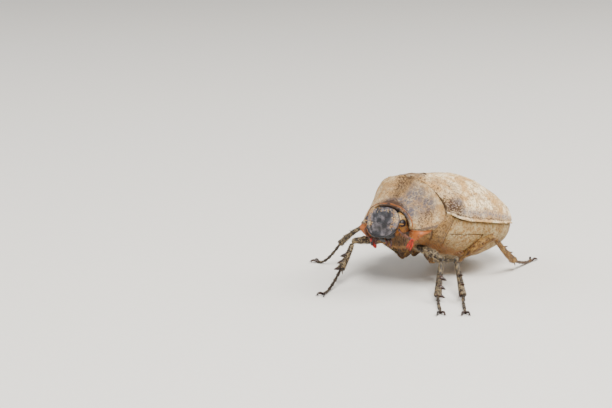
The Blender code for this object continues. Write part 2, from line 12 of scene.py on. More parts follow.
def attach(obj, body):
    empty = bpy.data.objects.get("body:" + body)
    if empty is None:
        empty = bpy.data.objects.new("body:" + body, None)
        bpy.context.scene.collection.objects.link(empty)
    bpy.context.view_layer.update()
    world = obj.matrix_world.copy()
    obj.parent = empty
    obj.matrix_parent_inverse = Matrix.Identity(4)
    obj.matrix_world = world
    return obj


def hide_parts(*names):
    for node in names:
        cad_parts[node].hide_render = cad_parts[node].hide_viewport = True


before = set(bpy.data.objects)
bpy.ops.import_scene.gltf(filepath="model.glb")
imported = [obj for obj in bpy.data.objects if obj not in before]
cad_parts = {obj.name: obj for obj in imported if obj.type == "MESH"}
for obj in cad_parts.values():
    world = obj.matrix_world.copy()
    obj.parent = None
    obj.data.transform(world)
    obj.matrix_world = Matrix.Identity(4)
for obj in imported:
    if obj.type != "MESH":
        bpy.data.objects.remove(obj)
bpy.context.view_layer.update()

bl_info = {
    "name": "Scaly scarab beetle",
    "version": (1, 0, 0),
    "blender": (4, 5, 0),
    "location": "3D View > Sidebar > Beetle",
    "description": "Builds the plates, scales, hairs, legs and studio of a museum-type beetle model",
    "category": "Add Mesh",
}

MM = 0.001
JOINT = 0.06 * MM
UP = np.array([0.0, 0, 1])
LEFT = np.array([1.0, 0, 0])

# Stance of the trunk, as in the solids
TURN = np.array(Euler((np.radians(-13.0), np.radians(-4.5), 0)).to_matrix())
WAIST = np.array([0.28, -3.32, 12.8]) * MM
HEAD_TURN = TURN @ np.array(Euler((0, np.radians(-0.5), np.radians(6.0))).to_matrix())
NECK = TURN @ (np.array([-0.3, -6.5, -1.0]) * MM) + WAIST

# Sizes of the plates, and the powers of the wing cases' superellipse, as in the solids
ELYTRON_LENGTH = 23.2 * MM
ELYTRON_HALF_WIDTH = 10.3 * MM
ELYTRON_HEIGHT = 8.8 * MM
ARCH_ACROSS, ARCH_UP = 0.98, 0.9
SHOULDER_BULGE = 0.65 * MM
BELLY_DEPTH = 8.0 * MM
THORAX_LENGTH = 10.0 * MM
PRONOTUM_LENGTH = 8.6 * MM
PRONOTUM_HALF_WIDTH = 8.4 * MM
PRONOTUM_HEIGHT = 6.3 * MM
PROSTERNUM_DEPTH = 3.6 * MM
SCUTELLUM_LENGTH = 2.6 * MM
SCUTELLUM_HALF_WIDTH = 2.5 * MM
SLANT_LEVEL = 0.9 * MM
WAIST_SLANT = 0.7
LEAN_TOP = 2.6 * MM
LEAN_DROP = 5.6 * MM
PRONOTUM_FULLER = 0.2
LOBE_LENGTH = 2.0 * MM
LOBE_HALF_WIDTH = 2.8 * MM
BELLY_PLATES = 5
TAIL_GAP = 0.8 * MM
PLATE_WALL = 0.5 * MM
UNEVENNESS = 0.03 * MM

# Scales, by length and width, and hairs, by length and radius, of the regions that have no setting
SHIELD_SCALE = (0.24 * MM, 0.13 * MM)
BREAST_SCALE = (0.26 * MM, 0.15 * MM)
FACE_SCALE = (0.22 * MM, 0.13 * MM)
LEG_SCALE_WIDTH = 0.13 * MM
THROAT_HAIR = (0.8 * MM, 0.024 * MM)
CHEEK_HAIR = (1.1 * MM, 0.028 * MM)
LIP_HAIR = (0.5 * MM, 0.02 * MM)
LEG_HAIR = (0.62 * MM, 0.02 * MM)

# Area of one wing case, the most scales on it, and the points and the map breadth of one scale or hair
WING_AREA = 400 * MM * MM
MOST_SCALES = 24000
SCALE_CORNERS = 6
HAIR_CORNERS = 12
PATCH_ACROSS = 0.003
# Steps of a sequence of two numbers that fills a square evenly
EVEN_STEPS = (0.7548776662, 0.5698402910)

# The head in its own frame: crown, mouth edge, left eye and left temple, and half the breadth of the face
FACE_TOP = np.array([0.0, -2.2, 2.5]) * MM
FACE_LOW = np.array([0.0, -3.1, -3.35]) * MM
FACE_DOWN = FACE_LOW - FACE_TOP
FACE_OUT = np.array([0.0, FACE_DOWN[2], -FACE_DOWN[1]]) / np.linalg.norm(FACE_DOWN)
FACE_HALF = 3.55 * MM
EYE = np.array([3.95, -2.0, -0.25]) * MM
EYE_HALF = np.array([0.56, 0.8, 0.78]) * MM
TEMPLE = np.array([3.1, -1.2, 0.1]) * MM
TEMPLE_HALF = np.array([1.2, 1.05, 2.05]) * MM

# Each leg: the hip in the level trunk, then knee, ankle and toe from the floor under the waist
LEGS = {
    "front_left": ((2.6, -3.6, -5.2), (9.4, -3.1, 6.6), (12.9, -8.6, 1.2), (17.8, -14.0, 0)),
    "front_right": ((-2.6, -3.6, -5.2), (-9.0, -7.5, 7.7), (-7.6, -12.9, 3.4), (-6.0, -19.8, 0)),
    "middle_left": ((3.4, 2.2, -8.2), (10.8, -0.4, 6.3), (16.2, -5.2, 1.2), (21.2, -11.0, 0)),
    "middle_right": ((-3.4, 2.2, -8.2), (-10.2, -2.4, 9.9), (-16.2, -3.2, 5.0), (-21.9, -3.8, 0)),
    "hind_left": ((5.4, 8.2, -7.7), (11.5, 10.6, 8.7), (11.4, 17.9, 2.3), (9.8, 26.4, 0)),
    "hind_right": ((-5.4, 8.2, -7.7), (-11.4, 11.0, 8.5), (-12.4, 18.2, 2.0), (-12.6, 26.6, 0)),
}
FEMUR_RADIUS = {"front": 1.0 * MM, "middle": 1.0 * MM, "hind": 1.25 * MM}
TIBIA_RADIUS = {"front": 0.62 * MM, "middle": 0.6 * MM, "hind": 0.66 * MM}
COXA_RADIUS = {"front": 1.25 * MM, "middle": 1.5 * MM, "hind": 1.5 * MM}
KNEE_SHARE = 0.72
TARSUS_RADIUS = 0.32 * MM
CLAW_LENGTH = 1.5 * MM

# Each feeler in the level trunk: four places along its stem, then the tip of its club
FEELERS = {
    "left": ((3.7, -8.9, -2.4), (5.05, -9.2, -3.2), (6.3, -9.2, -3.7), (7.4, -9.1, -4.05), (7.1, -9.8, -6.1)),
    "right": (
        (-4.05, -8.9, -2.5), (-4.55, -8.8, -3.4), (-4.2, -8.4, -4.3), (-3.4, -8.1, -4.9), (-2.2, -7.9, -6.6)
    ),
}

# Softboxes: name, place, breadth, power and tint
SOFTBOXES = (
    ("key_softbox", (0.24, -0.2, 0.46), 0.26, 6.1, (1.0, 0.97, 0.92)),
    ("fill_softbox", (-0.4, -0.24, 0.3), 0.4, 1.5, (0.93, 0.96, 1.0)),
    ("back_softbox", (0.22, 0.34, 0.4), 0.3, 3.2, (1.0, 0.98, 0.95)),
)
FLOOR_HALF = 0.6


def linear(hex_colour):
    """The sRGB hex colour as linear red, green and blue."""
    srgb = np.array([int(hex_colour[i : i + 2], 16) for i in (1, 3, 5)]) / 255.0
    return tuple(np.where(srgb <= 0.04045, srgb / 12.92, ((srgb + 0.055) / 1.055) ** 2.4).tolist())


def length(name, description, millimetres):
    """A setting for a length, kept in metres."""
    return bpy.props.FloatProperty(
        name=name, description=description, default=millimetres * MM, min=0.0,
        unit="LENGTH", subtype="DISTANCE",
    )


def bearing(name, description, degrees):
    """A setting for an angle, kept in radians."""
    return bpy.props.FloatProperty(
        name=name, description=description, default=np.radians(degrees), subtype="ANGLE"
    )


def colour(name, description, hex_colour):
    """A setting for a colour, kept as linear red, green and blue."""
    return bpy.props.FloatVectorProperty(
        name=name, description=description, default=linear(hex_colour), min=0.0, max=1.0,
        size=3, subtype="COLOR",
    )


class BeetleCoat(bpy.types.PropertyGroup):
    """Sizes of the scales and hairs."""

    scale_length: length("Scale length", "Length of one scale of the wing cases", 0.34)
    scale_width: length("Scale width", "Width of one scale of the wing cases", 0.2)
    scale_spacing: length("Scale spacing", "Mean distance between the roots of the wing cases' scales", 0.2)
    leg_scale_length: length("Leg scale length", "Length of one scale of the legs", 0.3)
    hair_length: length("Hair length", "Length of the golden hairs of the breast", 0.9)
    hair_radius: length("Hair radius", "Radius of a hair of the breast at its root", 0.022)


class BeetleColours(bpy.types.PropertyGroup):
    """Colours of cuticle, scales and hairs."""

    wing_cream: colour("Wing cream", "Pale scales of the wing cases", "#fdeac2")
    wing_gold: colour("Wing gold", "Golden scales of the wing cases", "#c99b58")
    wing_ground: colour("Wing ground", "Bare cuticle of the wing cases and the pronotum", "#3b2616")
    shield_cream: colour("Shield cream", "Pale scales of the pronotum", "#c6b08a")
    shield_lilac: colour("Shield lilac", "Greyish lilac scales of the pronotum", "#5a545b")
    slate: colour("Slate", "Cuticle of the forehead", "#141217")
    slate_pale: colour("Pale slate", "Powdered cuticle of the forehead", "#6a6368")
    orange: colour("Orange", "Thin orange cuticle below the pronotum", "#964d0c")
    khaki: colour("Khaki", "Scales of the breast and belly", "#b9a476")
    khaki_brown: colour("Khaki brown", "Cuticle of the breast", "#4d3417")
    leg_pale: colour("Leg pale", "Pale scales of the front and middle legs", "#988565")
    leg_dark: colour("Leg dark", "Bare cuticle of the front and middle legs", "#1d1612")
    leg_tan: colour("Leg tan", "Warm scales of the hind legs and of all hips", "#6b431a")
    club: colour("Club", "Leaves of the feelers' clubs", "#c41c08")
    gold: colour("Gold", "Light shade of the golden hairs of the breast", "#b9772a")


class BeetleStage(bpy.types.PropertyGroup):
    """Camera, floor and light."""

    azimuth: bearing("Azimuth", "Direction of the camera's axis round the beetle", 42.27)
    elevation: bearing("Elevation", "Height angle of the camera's axis", 14.1)
    waist_azimuth: bearing("Waist azimuth", "Direction from the waist to the camera", 38.5)
    waist_elevation: bearing("Waist elevation", "Height angle from the waist to the camera", 14.5)
    distance: length("Distance", "Distance of the camera from the waist", 330.0)
    lens: bpy.props.FloatProperty(
        name="Lens", description="Focal length in millimetres", default=99.4, min=1.0
    )
    floor: colour("Floor", "Colour of the floor", "#e4e1db")


def profile(stations, values):
    """A smooth function through the given values: cubic pieces whose slopes never overshoot."""
    at, to = np.array(stations, float), np.array(values, float)
    secant = np.diff(to) / np.diff(at)
    slope = np.zeros_like(to)
    same_way = secant[:-1] * secant[1:] > 0
    total = np.where(same_way, secant[:-1] + secant[1:], 1.0)
    slope[1:-1] = np.where(same_way, 2 * secant[:-1] * secant[1:] / total, 0.0)
    slope[0], slope[-1] = secant[0], secant[-1]

    def value(t):
        t = np.clip(np.asarray(t, float), at[0], at[-1])
        i = np.clip(np.searchsorted(at, t) - 1, 0, len(secant) - 1)
        step = at[i + 1] - at[i]
        u = (t - at[i]) / step
        return (
            to[i] * (1 + 2 * u) * (1 - u) ** 2
            + slope[i] * step * u * (1 - u) ** 2
            + to[i + 1] * u**2 * (3 - 2 * u)
            + slope[i + 1] * step * u**2 * (u - 1)
        )

    return value


elytron_width = profile(
    [0, 0.05, 0.15, 0.4, 0.65, 0.8, 0.9, 0.96, 1], [0.89, 0.915, 0.935, 0.97, 1, 0.95, 0.82, 0.64, 0.4]
)
elytron_height = profile(
    [0, 0.1, 0.3, 0.45, 0.7, 0.85, 0.94, 1], [0.73, 0.895, 1.0, 1.01, 0.81, 0.575, 0.355, 0.13]
)
elytron_level = profile([0, 0.1, 0.25, 1], [1.4 * MM, 0.6 * MM, 0.15 * MM, 0.3 * MM])
belly_depth = profile([0, 0.12, 0.35, 0.55, 0.75, 0.9, 1], [0.76, 0.84, 0.93, 0.94, 0.8, 0.62, 0.48])
pronotum_width = profile([0, 0.2, 0.4, 0.6, 0.8, 1], [0.67, 0.79, 0.88, 0.945, 0.985, 1])
pronotum_height = profile([0, 0.25, 0.5, 0.75, 1], [0.68, 0.94, 1.18, 1.38, 1.5])
pronotum_level = profile([0, 0.3, 0.6, 1], [-2.3 * MM, -2.3 * MM, -2.15 * MM, -1.9 * MM])
pronotum_fullness = profile([0, 0.2, 0.5, 0.8, 1], [0, 0.05, 0.6, 0.97, 1])
prosternum_depth = profile([0, 0.3, 0.7, 1], [0.72, 0.95, 1, 0.85])
seam_of_breast = profile(np.array([-9, -5.5, -2.7, 0.4, 2]) * MM, np.array([2.5, 1.5, 0, 0.9, 1.6]) * MM)
head_front = profile(
    [0, 0.2, 0.35, 0.5, 0.65, 0.8, 1], np.array([0.6, 0.85, 0.95, 0.95, 0.85, 0.72, 0.7]) * MM
)
head_back = profile([0, 0.2, 0.5, 0.8, 1], np.array([1.2, 1.5, 1.5, 1.0, 0.3]) * MM)
femur_swell = profile(
    [0, 0.04, 0.1, 0.35, 0.6, 0.84, 0.95, 0.985, 1], [0.35, 0.54, 0.62, 1, 0.95, 0.74, 0.7, 0.5, 0.2]
)
tibia_swell = profile([0, 0.05, 0.15, 0.6, 0.85, 0.96, 0.985, 1], [0.45, 0.75, 0.8, 1, 1.15, 1.27, 1.2, 0.8])


def bell(x, width):
    """A smooth hump of height 1 about 0, falling to about a third at the width."""
    return np.exp(-((x / width) ** 2))


def rise(x, start, end):
    """0 below the start, 1 above the end, and a smooth S between."""
    u = np.clip((x - start) / (end - start), 0, 1)
    return u * u * (3 - 2 * u)


def ripple(points, wavelength, seed, waves=9):
    """Smooth seeded unevenness of about unit size: a sum of plane waves in random directions."""
    draw = np.random.default_rng(seed)
    total = np.zeros(points.shape[:-1])
    for _ in range(waves):
        way = draw.normal(size=3)
        way *= 2 * np.pi / (wavelength * draw.uniform(0.7, 1.5) * np.linalg.norm(way))
        total += np.sin(points @ way + draw.uniform(0, 2 * np.pi))
    return total * np.sqrt(2 / waves)


def waist_shift(x, z):
    """How far behind the plane of the waist its joint lies at the offset x and the height z.

    Above the shoulders the joint slants forwards, with a lobe back to the scutellum in the middle. Below
    them, at the sides, it leans forwards under the pronotum's hind corners.
    """
    lobe = LOBE_LENGTH * bell(x, LOBE_HALF_WIDTH) * np.clip(z / (3 * MM), 0, 1)
    drop = np.clip(LEAN_TOP - z, 0, LEAN_DROP)
    lean = (0.3 * drop + 0.14 * drop**2 / MM) * rise(np.abs(x), 3 * MM, 6 * MM)
    return lobe - WAIST_SLANT * np.clip(z - SLANT_LEVEL, 0, None) - lean


def signed_power(value, power):
    """The power of a value's size, with the value's own sign, as a superellipse needs it."""
    return np.sign(value) * np.abs(value) ** power


def in_world(points):
    """Places in the level trunk, turned and moved to where the trunk stands."""
    return points @ TURN.T + WAIST


def unit(vectors):
    """The vectors at length 1."""
    return vectors / np.maximum(np.linalg.norm(vectors, axis=-1, keepdims=True), 1e-12)


# Surfaces of the trunk. Each takes arrays t and s of one shape and gives places in the world.


def hind_y(t, x, z, gap=JOINT):
    """Y in the hind trunk at the share t of its length: at its front on the waist's joint, past a gap."""
    return ELYTRON_LENGTH * t + (1 - t) ** 8 * (gap + waist_shift(x, z))


def fore_y(t, x, z, width):
    """Y in the prothorax at the share t of its length: bowed in front, on the waist's joint at its rear."""
    return t * waist_shift(x, z) - PRONOTUM_LENGTH * (1 - t) + (1 - t) ** 3 * 1.1 * MM * (x / width) ** 2


def stood(x, y, z, wavelength=None, seed=0):
    """Places of the level trunk as they stand in the world, uneven by soft waves of the wavelength."""
    places = in_world(np.stack([x, y, z], -1))
    if wavelength:
        places[..., 2] += UNEVENNESS * ripple(places, wavelength, seed)
    return places


def wing_section(t):
    """Half the breadth and the height of the wing cases' section, a half superellipse, at the share t."""
    return ELYTRON_HALF_WIDTH * elytron_width(t), ELYTRON_HEIGHT * elytron_height(t)


def wing_case(t, s, side, lift=0.0):
    """A wing case at the share t of its length and s of its breadth, from the side margin to the seam.

    Each section is a superellipse whose half sizes change along the back. Raised on it are the shoulder's
    bulge, the bulge near the tip, three faint ribs, the rib along the seam and the rolled side margin.
    The first millimetre is tucked in towards the pronotum.
    """
    along = ELYTRON_LENGTH * t
    opening = np.sqrt(np.clip(1 - (along / (SCUTELLUM_LENGTH + 2 * JOINT)) ** 2, 0, 1))
    seam = JOINT / 2 + (SCUTELLUM_HALF_WIDTH + JOINT) * opening
    width, height = wing_section(t)
    angle = np.arccos(np.clip(seam / width, 0, 1) ** (1 / ARCH_ACROSS)) * s
    arc = width * angle
    x, z = width * np.cos(angle) ** ARCH_ACROSS, height * np.sin(angle) ** ARCH_UP
    from_seam = np.abs(x - seam)
    faded = np.sin(np.pi * np.clip(t * 0.97 + 0.02, 0, 1)) ** 0.4
    relief = SHOULDER_BULGE * bell(t - 0.09, 0.09) * bell(angle - 0.24, 0.22)
    relief += 0.35 * MM * bell(t - 0.87, 0.06) * bell(s - 0.5, 0.16)
    for share in (0.34, 0.55, 0.76):
        relief += 0.1 * MM * faded * bell((s - share) * width, 0.42 * MM)
        relief -= 0.03 * MM * faded * bell((s - share + 0.05) * width, 0.3 * MM)
    relief += 0.12 * MM * bell(from_seam - 0.3 * MM, 0.28 * MM)
    relief -= 0.05 * MM * bell(from_seam - 0.85 * MM, 0.3 * MM)
    relief += 0.16 * MM * bell(arc - 0.12 * MM, 0.22 * MM) - 0.16 * MM * bell(arc - 0.62 * MM, 0.3 * MM)
    relief += 0.08 * MM * bell(along - 0.15 * MM, 0.2 * MM)
    tucked = 1 - rise(t, 0, 0.04)
    x = x * (1 - 0.1 * tucked) + np.cos(angle) * (relief + lift)
    z = z * (1 - 0.03 * tucked) + np.sin(angle) * (relief + lift) + elytron_level(t)
    return stood(side * x, hind_y(t, x, z), z, 2.2 * MM, 11)


def scutellum_plate(t, s, lift=0.0):
    """The scutellum at the share t from base to tip and s from side to side.

    A half-round plate on the wing cases' own curve, carried on between their bases and slightly domed.
    """
    along = SCUTELLUM_LENGTH * t
    half = (SCUTELLUM_HALF_WIDTH - JOINT) * np.sqrt(np.clip(1 - t**2, 0, 1))
    x = half * (2 * s - 1)
    share = along / ELYTRON_LENGTH
    width, height = wing_section(share)
    cosine = np.clip(np.abs(x) / width, 0, 1) ** (1 / ARCH_ACROSS)
    dome = 0.12 * MM * (1 - (2 * s - 1) ** 2) * (1 - t**2)
    z = height * np.sqrt(1 - cosine**2) ** ARCH_UP + elytron_level(share) + lift + dome
    return stood(x, hind_y(share, x, z), z)


def shield(t, s, lift=0.0):
    """The pronotum at the share t from front to rear and s from its left margin over the top to the right.

    Sections are superellipses on a level that rises to the hind corners. The hind edge follows the waist's
    joint. The front edge and the notched side margins are rolled, and two shallow dents lie on the disc.
    """
    angle = np.pi * s
    width = PRONOTUM_HALF_WIDTH * pronotum_width(t)
    height = PRONOTUM_HEIGHT * pronotum_height(t)
    arc = width * np.minimum(angle, np.pi - angle)
    along = PRONOTUM_LENGTH * t
    notch = 0.5 + 0.5 * np.sin(2 * np.pi * along / (0.75 * MM))
    relief = (0.12 + 0.06 * notch) * MM * bell(arc - 0.08 * MM, 0.17 * MM)
    relief -= 0.1 * MM * bell(arc - 0.5 * MM, 0.28 * MM)
    relief += 0.14 * MM * bell(along - 0.15 * MM, 0.2 * MM) - 0.06 * MM * bell(along - 0.6 * MM, 0.25 * MM)
    relief += 0.06 * MM * bell(along - PRONOTUM_LENGTH + 0.25 * MM, 0.25 * MM)
    for place in (0.27, 0.73):
        relief -= 0.22 * MM * bell(t - 0.45, 0.1) * bell(s - place, 0.05)
    relief += 0.05 * MM * bell((s - 0.5) * np.pi * width, 0.35 * MM)
    fuller = 1 - PRONOTUM_FULLER * pronotum_fullness(t)
    x = width * signed_power(np.cos(angle), 0.88 * fuller) + np.cos(angle) * (relief + lift)
    z = height * np.abs(np.sin(angle)) ** (0.9 * fuller) + np.sin(angle) * (relief + lift) + pronotum_level(t)
    return stood(x, fore_y(t, x, z, width), z, 1.8 * MM, 12)


def underside(t, s):
    """The prothorax below its side margins, at the share t of its length and s from left to right.

    Sections are the lower halves of superellipses, shallower and rounder towards the front.
    """
    angle = -np.pi * s
    width = PRONOTUM_HALF_WIDTH * pronotum_width(t) - 0.12 * MM
    depth = PROSTERNUM_DEPTH * prosternum_depth(t) * (0.45 + 0.55 * rise(t, 0, 0.4))
    x = width * signed_power(np.cos(angle), 1.25)
    z = -depth * np.abs(np.sin(angle)) ** (1.6 - 0.7 * rise(t, 0, 0.5)) - 0.05 * MM + pronotum_level(t)
    y = fore_y(t, x, z, width) + (1 - t) ** 2 * 1.4 * MM * np.abs(np.sin(angle))
    return stood(x, y, z)


def breast_section(t, angle):
    """X and Z round a section of the breast and belly, the lower half of a superellipse, without relief."""
    width = ELYTRON_HALF_WIDTH * elytron_width(t) - 0.3 * MM
    z = -BELLY_DEPTH * belly_depth(t) * np.abs(np.sin(angle)) ** 0.95
    return width * signed_power(np.cos(angle), 0.8), z - 0.1 * MM + elytron_level(t)


def breast_lines(t, s):
    """What the joints of the breast are drawn by: Y and Z, and the distances from three joints.

    The first joint parts the two side plates of the middle breast, the seam parts the middle breast from the
    hind one, and the lower joint runs lengthwise over the hind one.
    """
    x, z = breast_section(t, -np.pi * s)
    y = hind_y(t, x, z)
    first = y + 4.1 * MM + 0.57 * (z + 1.9 * MM)
    lower = z + 2.45 * MM + 0.15 * MM * np.sin(y / (2 * MM))
    return y, z, first, y - seam_of_breast(z), lower


def belly_phase(along):
    """How far along its own belly plate a place lies, from 0 at the plate's front to 1 at its rear."""
    plate = (ELYTRON_LENGTH - TAIL_GAP - THORAX_LENGTH) / BELLY_PLATES
    return ((along - THORAX_LENGTH) / plate) % 1.0


def breast(t, s, lift=0.0):
    """The trunk below the wing cases at the share t of their length and s from left to right under the belly.

    Sections are the lower halves of superellipses. Grooves follow the joints of the breast's side plates,
    a furrow runs along the middle and, behind the hind hips, the belly's plates overlap like tiles.
    """
    angle = -np.pi * s
    along = ELYTRON_LENGTH * t
    x, z = breast_section(t, angle)
    first, seam, lower = breast_lines(t, s)[2:]
    on_breast = rise(THORAX_LENGTH - along, -0.1 * MM, 0.1 * MM)
    relief = 0.1 * MM * rise(-seam, 0, 0.3 * MM) - 0.16 * MM * on_breast * bell(seam, 0.14 * MM)
    relief -= 0.16 * MM * bell(first, 0.14 * MM)
    relief -= 0.14 * MM * on_breast * bell(lower, 0.12 * MM) * rise(seam, 0.5 * MM, 1.0 * MM)
    relief -= 0.25 * MM * on_breast * bell(x, 0.25 * MM) * rise(along, 3 * MM, 5 * MM)
    phase = belly_phase(along)
    tile = 0.1 * MM * (phase - 0.5) - 0.2 * MM * np.exp(-phase / 0.065) - 0.1 * MM * bell(phase - 1, 0.05)
    relief += (1 - on_breast) * tile
    x = x + np.cos(angle) * (relief + lift)
    z = z + np.sin(angle) * (relief + lift)
    return stood(x, hind_y(t, x, z), z, 2.0 * MM, 13)


def roof(t, s):
    """The hidden top of the trunk, 1.1 mm inside the wing cases, at the share t and s from right to left."""
    angle, inset = np.pi * s, 1.1 * MM
    width, height = wing_section(t)
    x = -(width - inset) * np.cos(angle)
    z = np.maximum(height - inset, 0.3 * MM) * np.sin(angle) ** ARCH_UP + elytron_level(t)
    return stood(x, hind_y(t, x, z, 0.3 * MM), z)


# Meshes


def grid_faces(rows, columns, around=False):
    """Quads of a grid of points in rows; around joins the last column to the first."""
    i = np.arange(rows - 1)[:, None]
    j = np.arange(columns if around else columns - 1)[None, :]
    k = (j + 1) % columns
    quads = [i * columns + j, i * columns + k, (i + 1) * columns + k, (i + 1) * columns + j]
    return np.stack(quads, -1).reshape(-1, 4)


def outward(points, faces):
    """The faces, turned over if the closed mesh that they make has its inside out."""
    a, b, c = points[faces[:, 0]], points[faces[:, 1]], points[faces[:, 2]]
    volume = np.einsum("ij,ij->", a, np.cross(b, c))
    if faces.shape[1] == 4:
        volume += np.einsum("ij,ij->", a, np.cross(c, points[faces[:, 3]]))
    return faces if volume >= 0 else faces[:, ::-1]


def put(name, points, faces, finish, slot, stands_for=(), smooth=True, unwrap=None, **fields):
    """Makes the mesh object name, gives it its finish, fields and map, and has it ride on the beetle.

    A field is a number for each point, or one number for all of them.
    """
    points, faces = np.asarray(points, float).reshape(-1, 3), np.asarray(faces)
    mesh = bpy.data.meshes.new(name)
    mesh.from_pydata(points.tolist(), [], outward(points, faces).tolist())
    mesh.update()
    for field, values in fields.items():
        made = mesh.attributes.new(field, "FLOAT", "POINT")
        values = np.broadcast_to(np.ravel(values), len(points))
        made.data.foreach_set("value", np.ascontiguousarray(values, np.float32))
    if unwrap is not None:
        corners = np.zeros(len(mesh.loops), np.int32)
        mesh.loops.foreach_get("vertex_index", corners)
        layer = mesh.uv_layers.new(name="OFBake")
        layer.data.foreach_set("uv", np.ascontiguousarray(unwrap[corners], np.float32).ravel())
    if smooth:
        mesh.shade_smooth()
    mesh.materials.append(finish)
    piece = bpy.data.objects.new(name, mesh)
    bpy.context.scene.collection.objects.link(piece)
    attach(piece, "root")
    if stands_for:
        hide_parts(*stands_for)


def walled(outer, inner):
    """Points and faces of a closed sheet between an outer and an inner grid of the same shape."""
    rows, columns = outer.shape[:2]
    ring = np.concatenate([outer, inner[:, ::-1]], 1)
    faces = grid_faces(rows, 2 * columns, around=True)
    j = np.arange(columns - 1)
    strip = np.stack([j + 1, j, 2 * columns - 1 - j, 2 * columns - 2 - j], 1)
    return ring.reshape(-1, 3), np.concatenate([faces, strip, (strip + (rows - 1) * 2 * columns)[:, ::-1]])


def capped(rings):
    """Points and faces of a closed body through rings. Two more rings draw each end in to its middle."""
    first, last = rings[0].mean(0), rings[-1].mean(0)
    front = [first + (rings[0] - first) * share for share in (1e-3, 0.5)]
    rear = [last + (rings[-1] - last) * share for share in (0.5, 1e-3)]
    rings = np.concatenate([front, rings, rear])
    return rings.reshape(-1, 3), grid_faces(*rings.shape[:2], around=True)


def with_caps(field):
    """A field on rings, carried on over the two rings that close each end."""
    return np.concatenate([field[:1], field[:1], field, field[-1:], field[-1:]])


def tube(path, radii, sides=20, flat=1.0, up=(0, 0, 1)):
    """Rings round a path: circles of the radii, pressed to flat times their breadth, which lies across up."""
    path = np.asarray(path, float)
    along = unit(np.gradient(path, axis=0))
    side = unit(np.cross(along, np.broadcast_to(np.asarray(up, float), along.shape)))
    over = np.cross(side, along)
    turn = np.linspace(0, 2 * np.pi, sides, endpoint=False)
    radii = np.broadcast_to(np.asarray(radii, float), len(path))[:, None, None]
    wide, tall = np.cos(turn)[None, :, None], flat * np.sin(turn)[None, :, None]
    return path[:, None, :] + radii * (wide * side[:, None, :] + tall * over[:, None, :])


def joined(parts):
    """Several closed lots of points and faces as one lot, each with its faces outwards."""
    points, faces, start = [], [], 0
    for some, quads in parts:
        points.append(some)
        faces.append(outward(some, quads) + start)
        start += len(some)
    return np.concatenate(points), np.concatenate(faces)


def on_ball(lift, turn):
    """Places on a ball of radius 1, at the angle lift above its equator and the angle turn round it."""
    return np.stack([np.cos(lift) * np.cos(turn), np.cos(lift) * np.sin(turn), np.sin(lift) + 0 * turn], -1)


def ball_rings(rows, columns):
    """Rings of latitude of a ball of radius 1, without its poles."""
    lift = np.linspace(-np.pi / 2, np.pi / 2, rows + 2)[1:-1, None]
    return on_ball(lift, np.linspace(0, 2 * np.pi, columns, endpoint=False)[None, :])


def grid(rows, columns, start=0.0, end=1.0):
    """Two arrays of shares, down the rows and along the columns."""
    return np.meshgrid(np.linspace(start, end, rows), np.linspace(0, 1, columns), indexing="ij")


def rounds(rows, columns, start=0.0, end=1.0):
    """Shares down the rows, and along the columns the angles of a full turn that stops short of its start."""
    turn = np.linspace(0, 2 * np.pi, columns, endpoint=False)
    return np.meshgrid(np.linspace(start, end, rows), turn, indexing="ij")


def thorns(roots, tips, radii, sides=7, bend=0.0, down=(0, 0, -1)):
    """Closed tapering spines from roots to tips, bowed by a share of their length away from down."""
    roots, tips = np.atleast_2d(roots), np.atleast_2d(tips)
    along = unit(tips - roots)
    side = unit(np.cross(along, np.array([0.31, 0.95, 0.12])))
    over = np.cross(side, along)
    share = np.array([0.0, 0.25, 0.5, 0.75, 0.93, 1.0])
    size = np.array([1.0, 0.9, 0.72, 0.48, 0.22, 0.05])
    turn = np.linspace(0, 2 * np.pi, sides, endpoint=False)
    span = np.linalg.norm(tips - roots, axis=1)[:, None, None, None]
    middle = roots[:, None, None] + (tips - roots)[:, None, None] * share[None, :, None, None]
    middle = middle - np.sin(np.pi * share)[None, :, None, None] * bend * span * np.asarray(down, float)
    cosine, sine = np.cos(turn)[:, None], np.sin(turn)[:, None]
    circle = cosine * side[:, None, None] + sine * over[:, None, None]
    thick = np.broadcast_to(radii, len(roots))[:, None, None, None] * size[:, None, None]
    return joined([capped(rings) for rings in middle + circle * thick])


# Coat: scales and hairs, rooted on the surfaces above


def rooted(surface, count, seed, weight=None, span=(0.004, 0.996)):
    """Up to count places on a surface, the ways along it and square to it there, and their shares t and s.

    A low-discrepancy sequence fills the two parameters, and a place is kept with a chance in proportion to
    the surface's area there and to the weight, so that the places spread evenly.
    """
    draw = np.random.default_rng(seed)
    n = np.arange(int(count * 2.6))
    t, s = (span[0] + (0.5 + n * step) % 1.0 * (span[1] - span[0]) for step in EVEN_STEPS)
    step = 0.004
    place = surface(t, s)
    along, across = surface(t + step, s) - surface(t - step, s), surface(t, s + step) - surface(t, s - step)
    cross = np.cross(along, across)
    area = np.linalg.norm(cross, axis=1)
    chance = area / np.quantile(area, 0.98)
    if weight is not None:
        chance = chance * weight(t, s)
    kept = draw.random(len(n)) < chance
    kept &= np.cumsum(kept) <= count
    return place[kept], unit(along)[kept], unit(cross)[kept], t[kept], s[kept]


def facing(out, ways):
    """The ways out, each turned over where it points against the way given for it."""
    return np.where((out * ways).sum(-1, keepdims=True) > 0, out, -out)


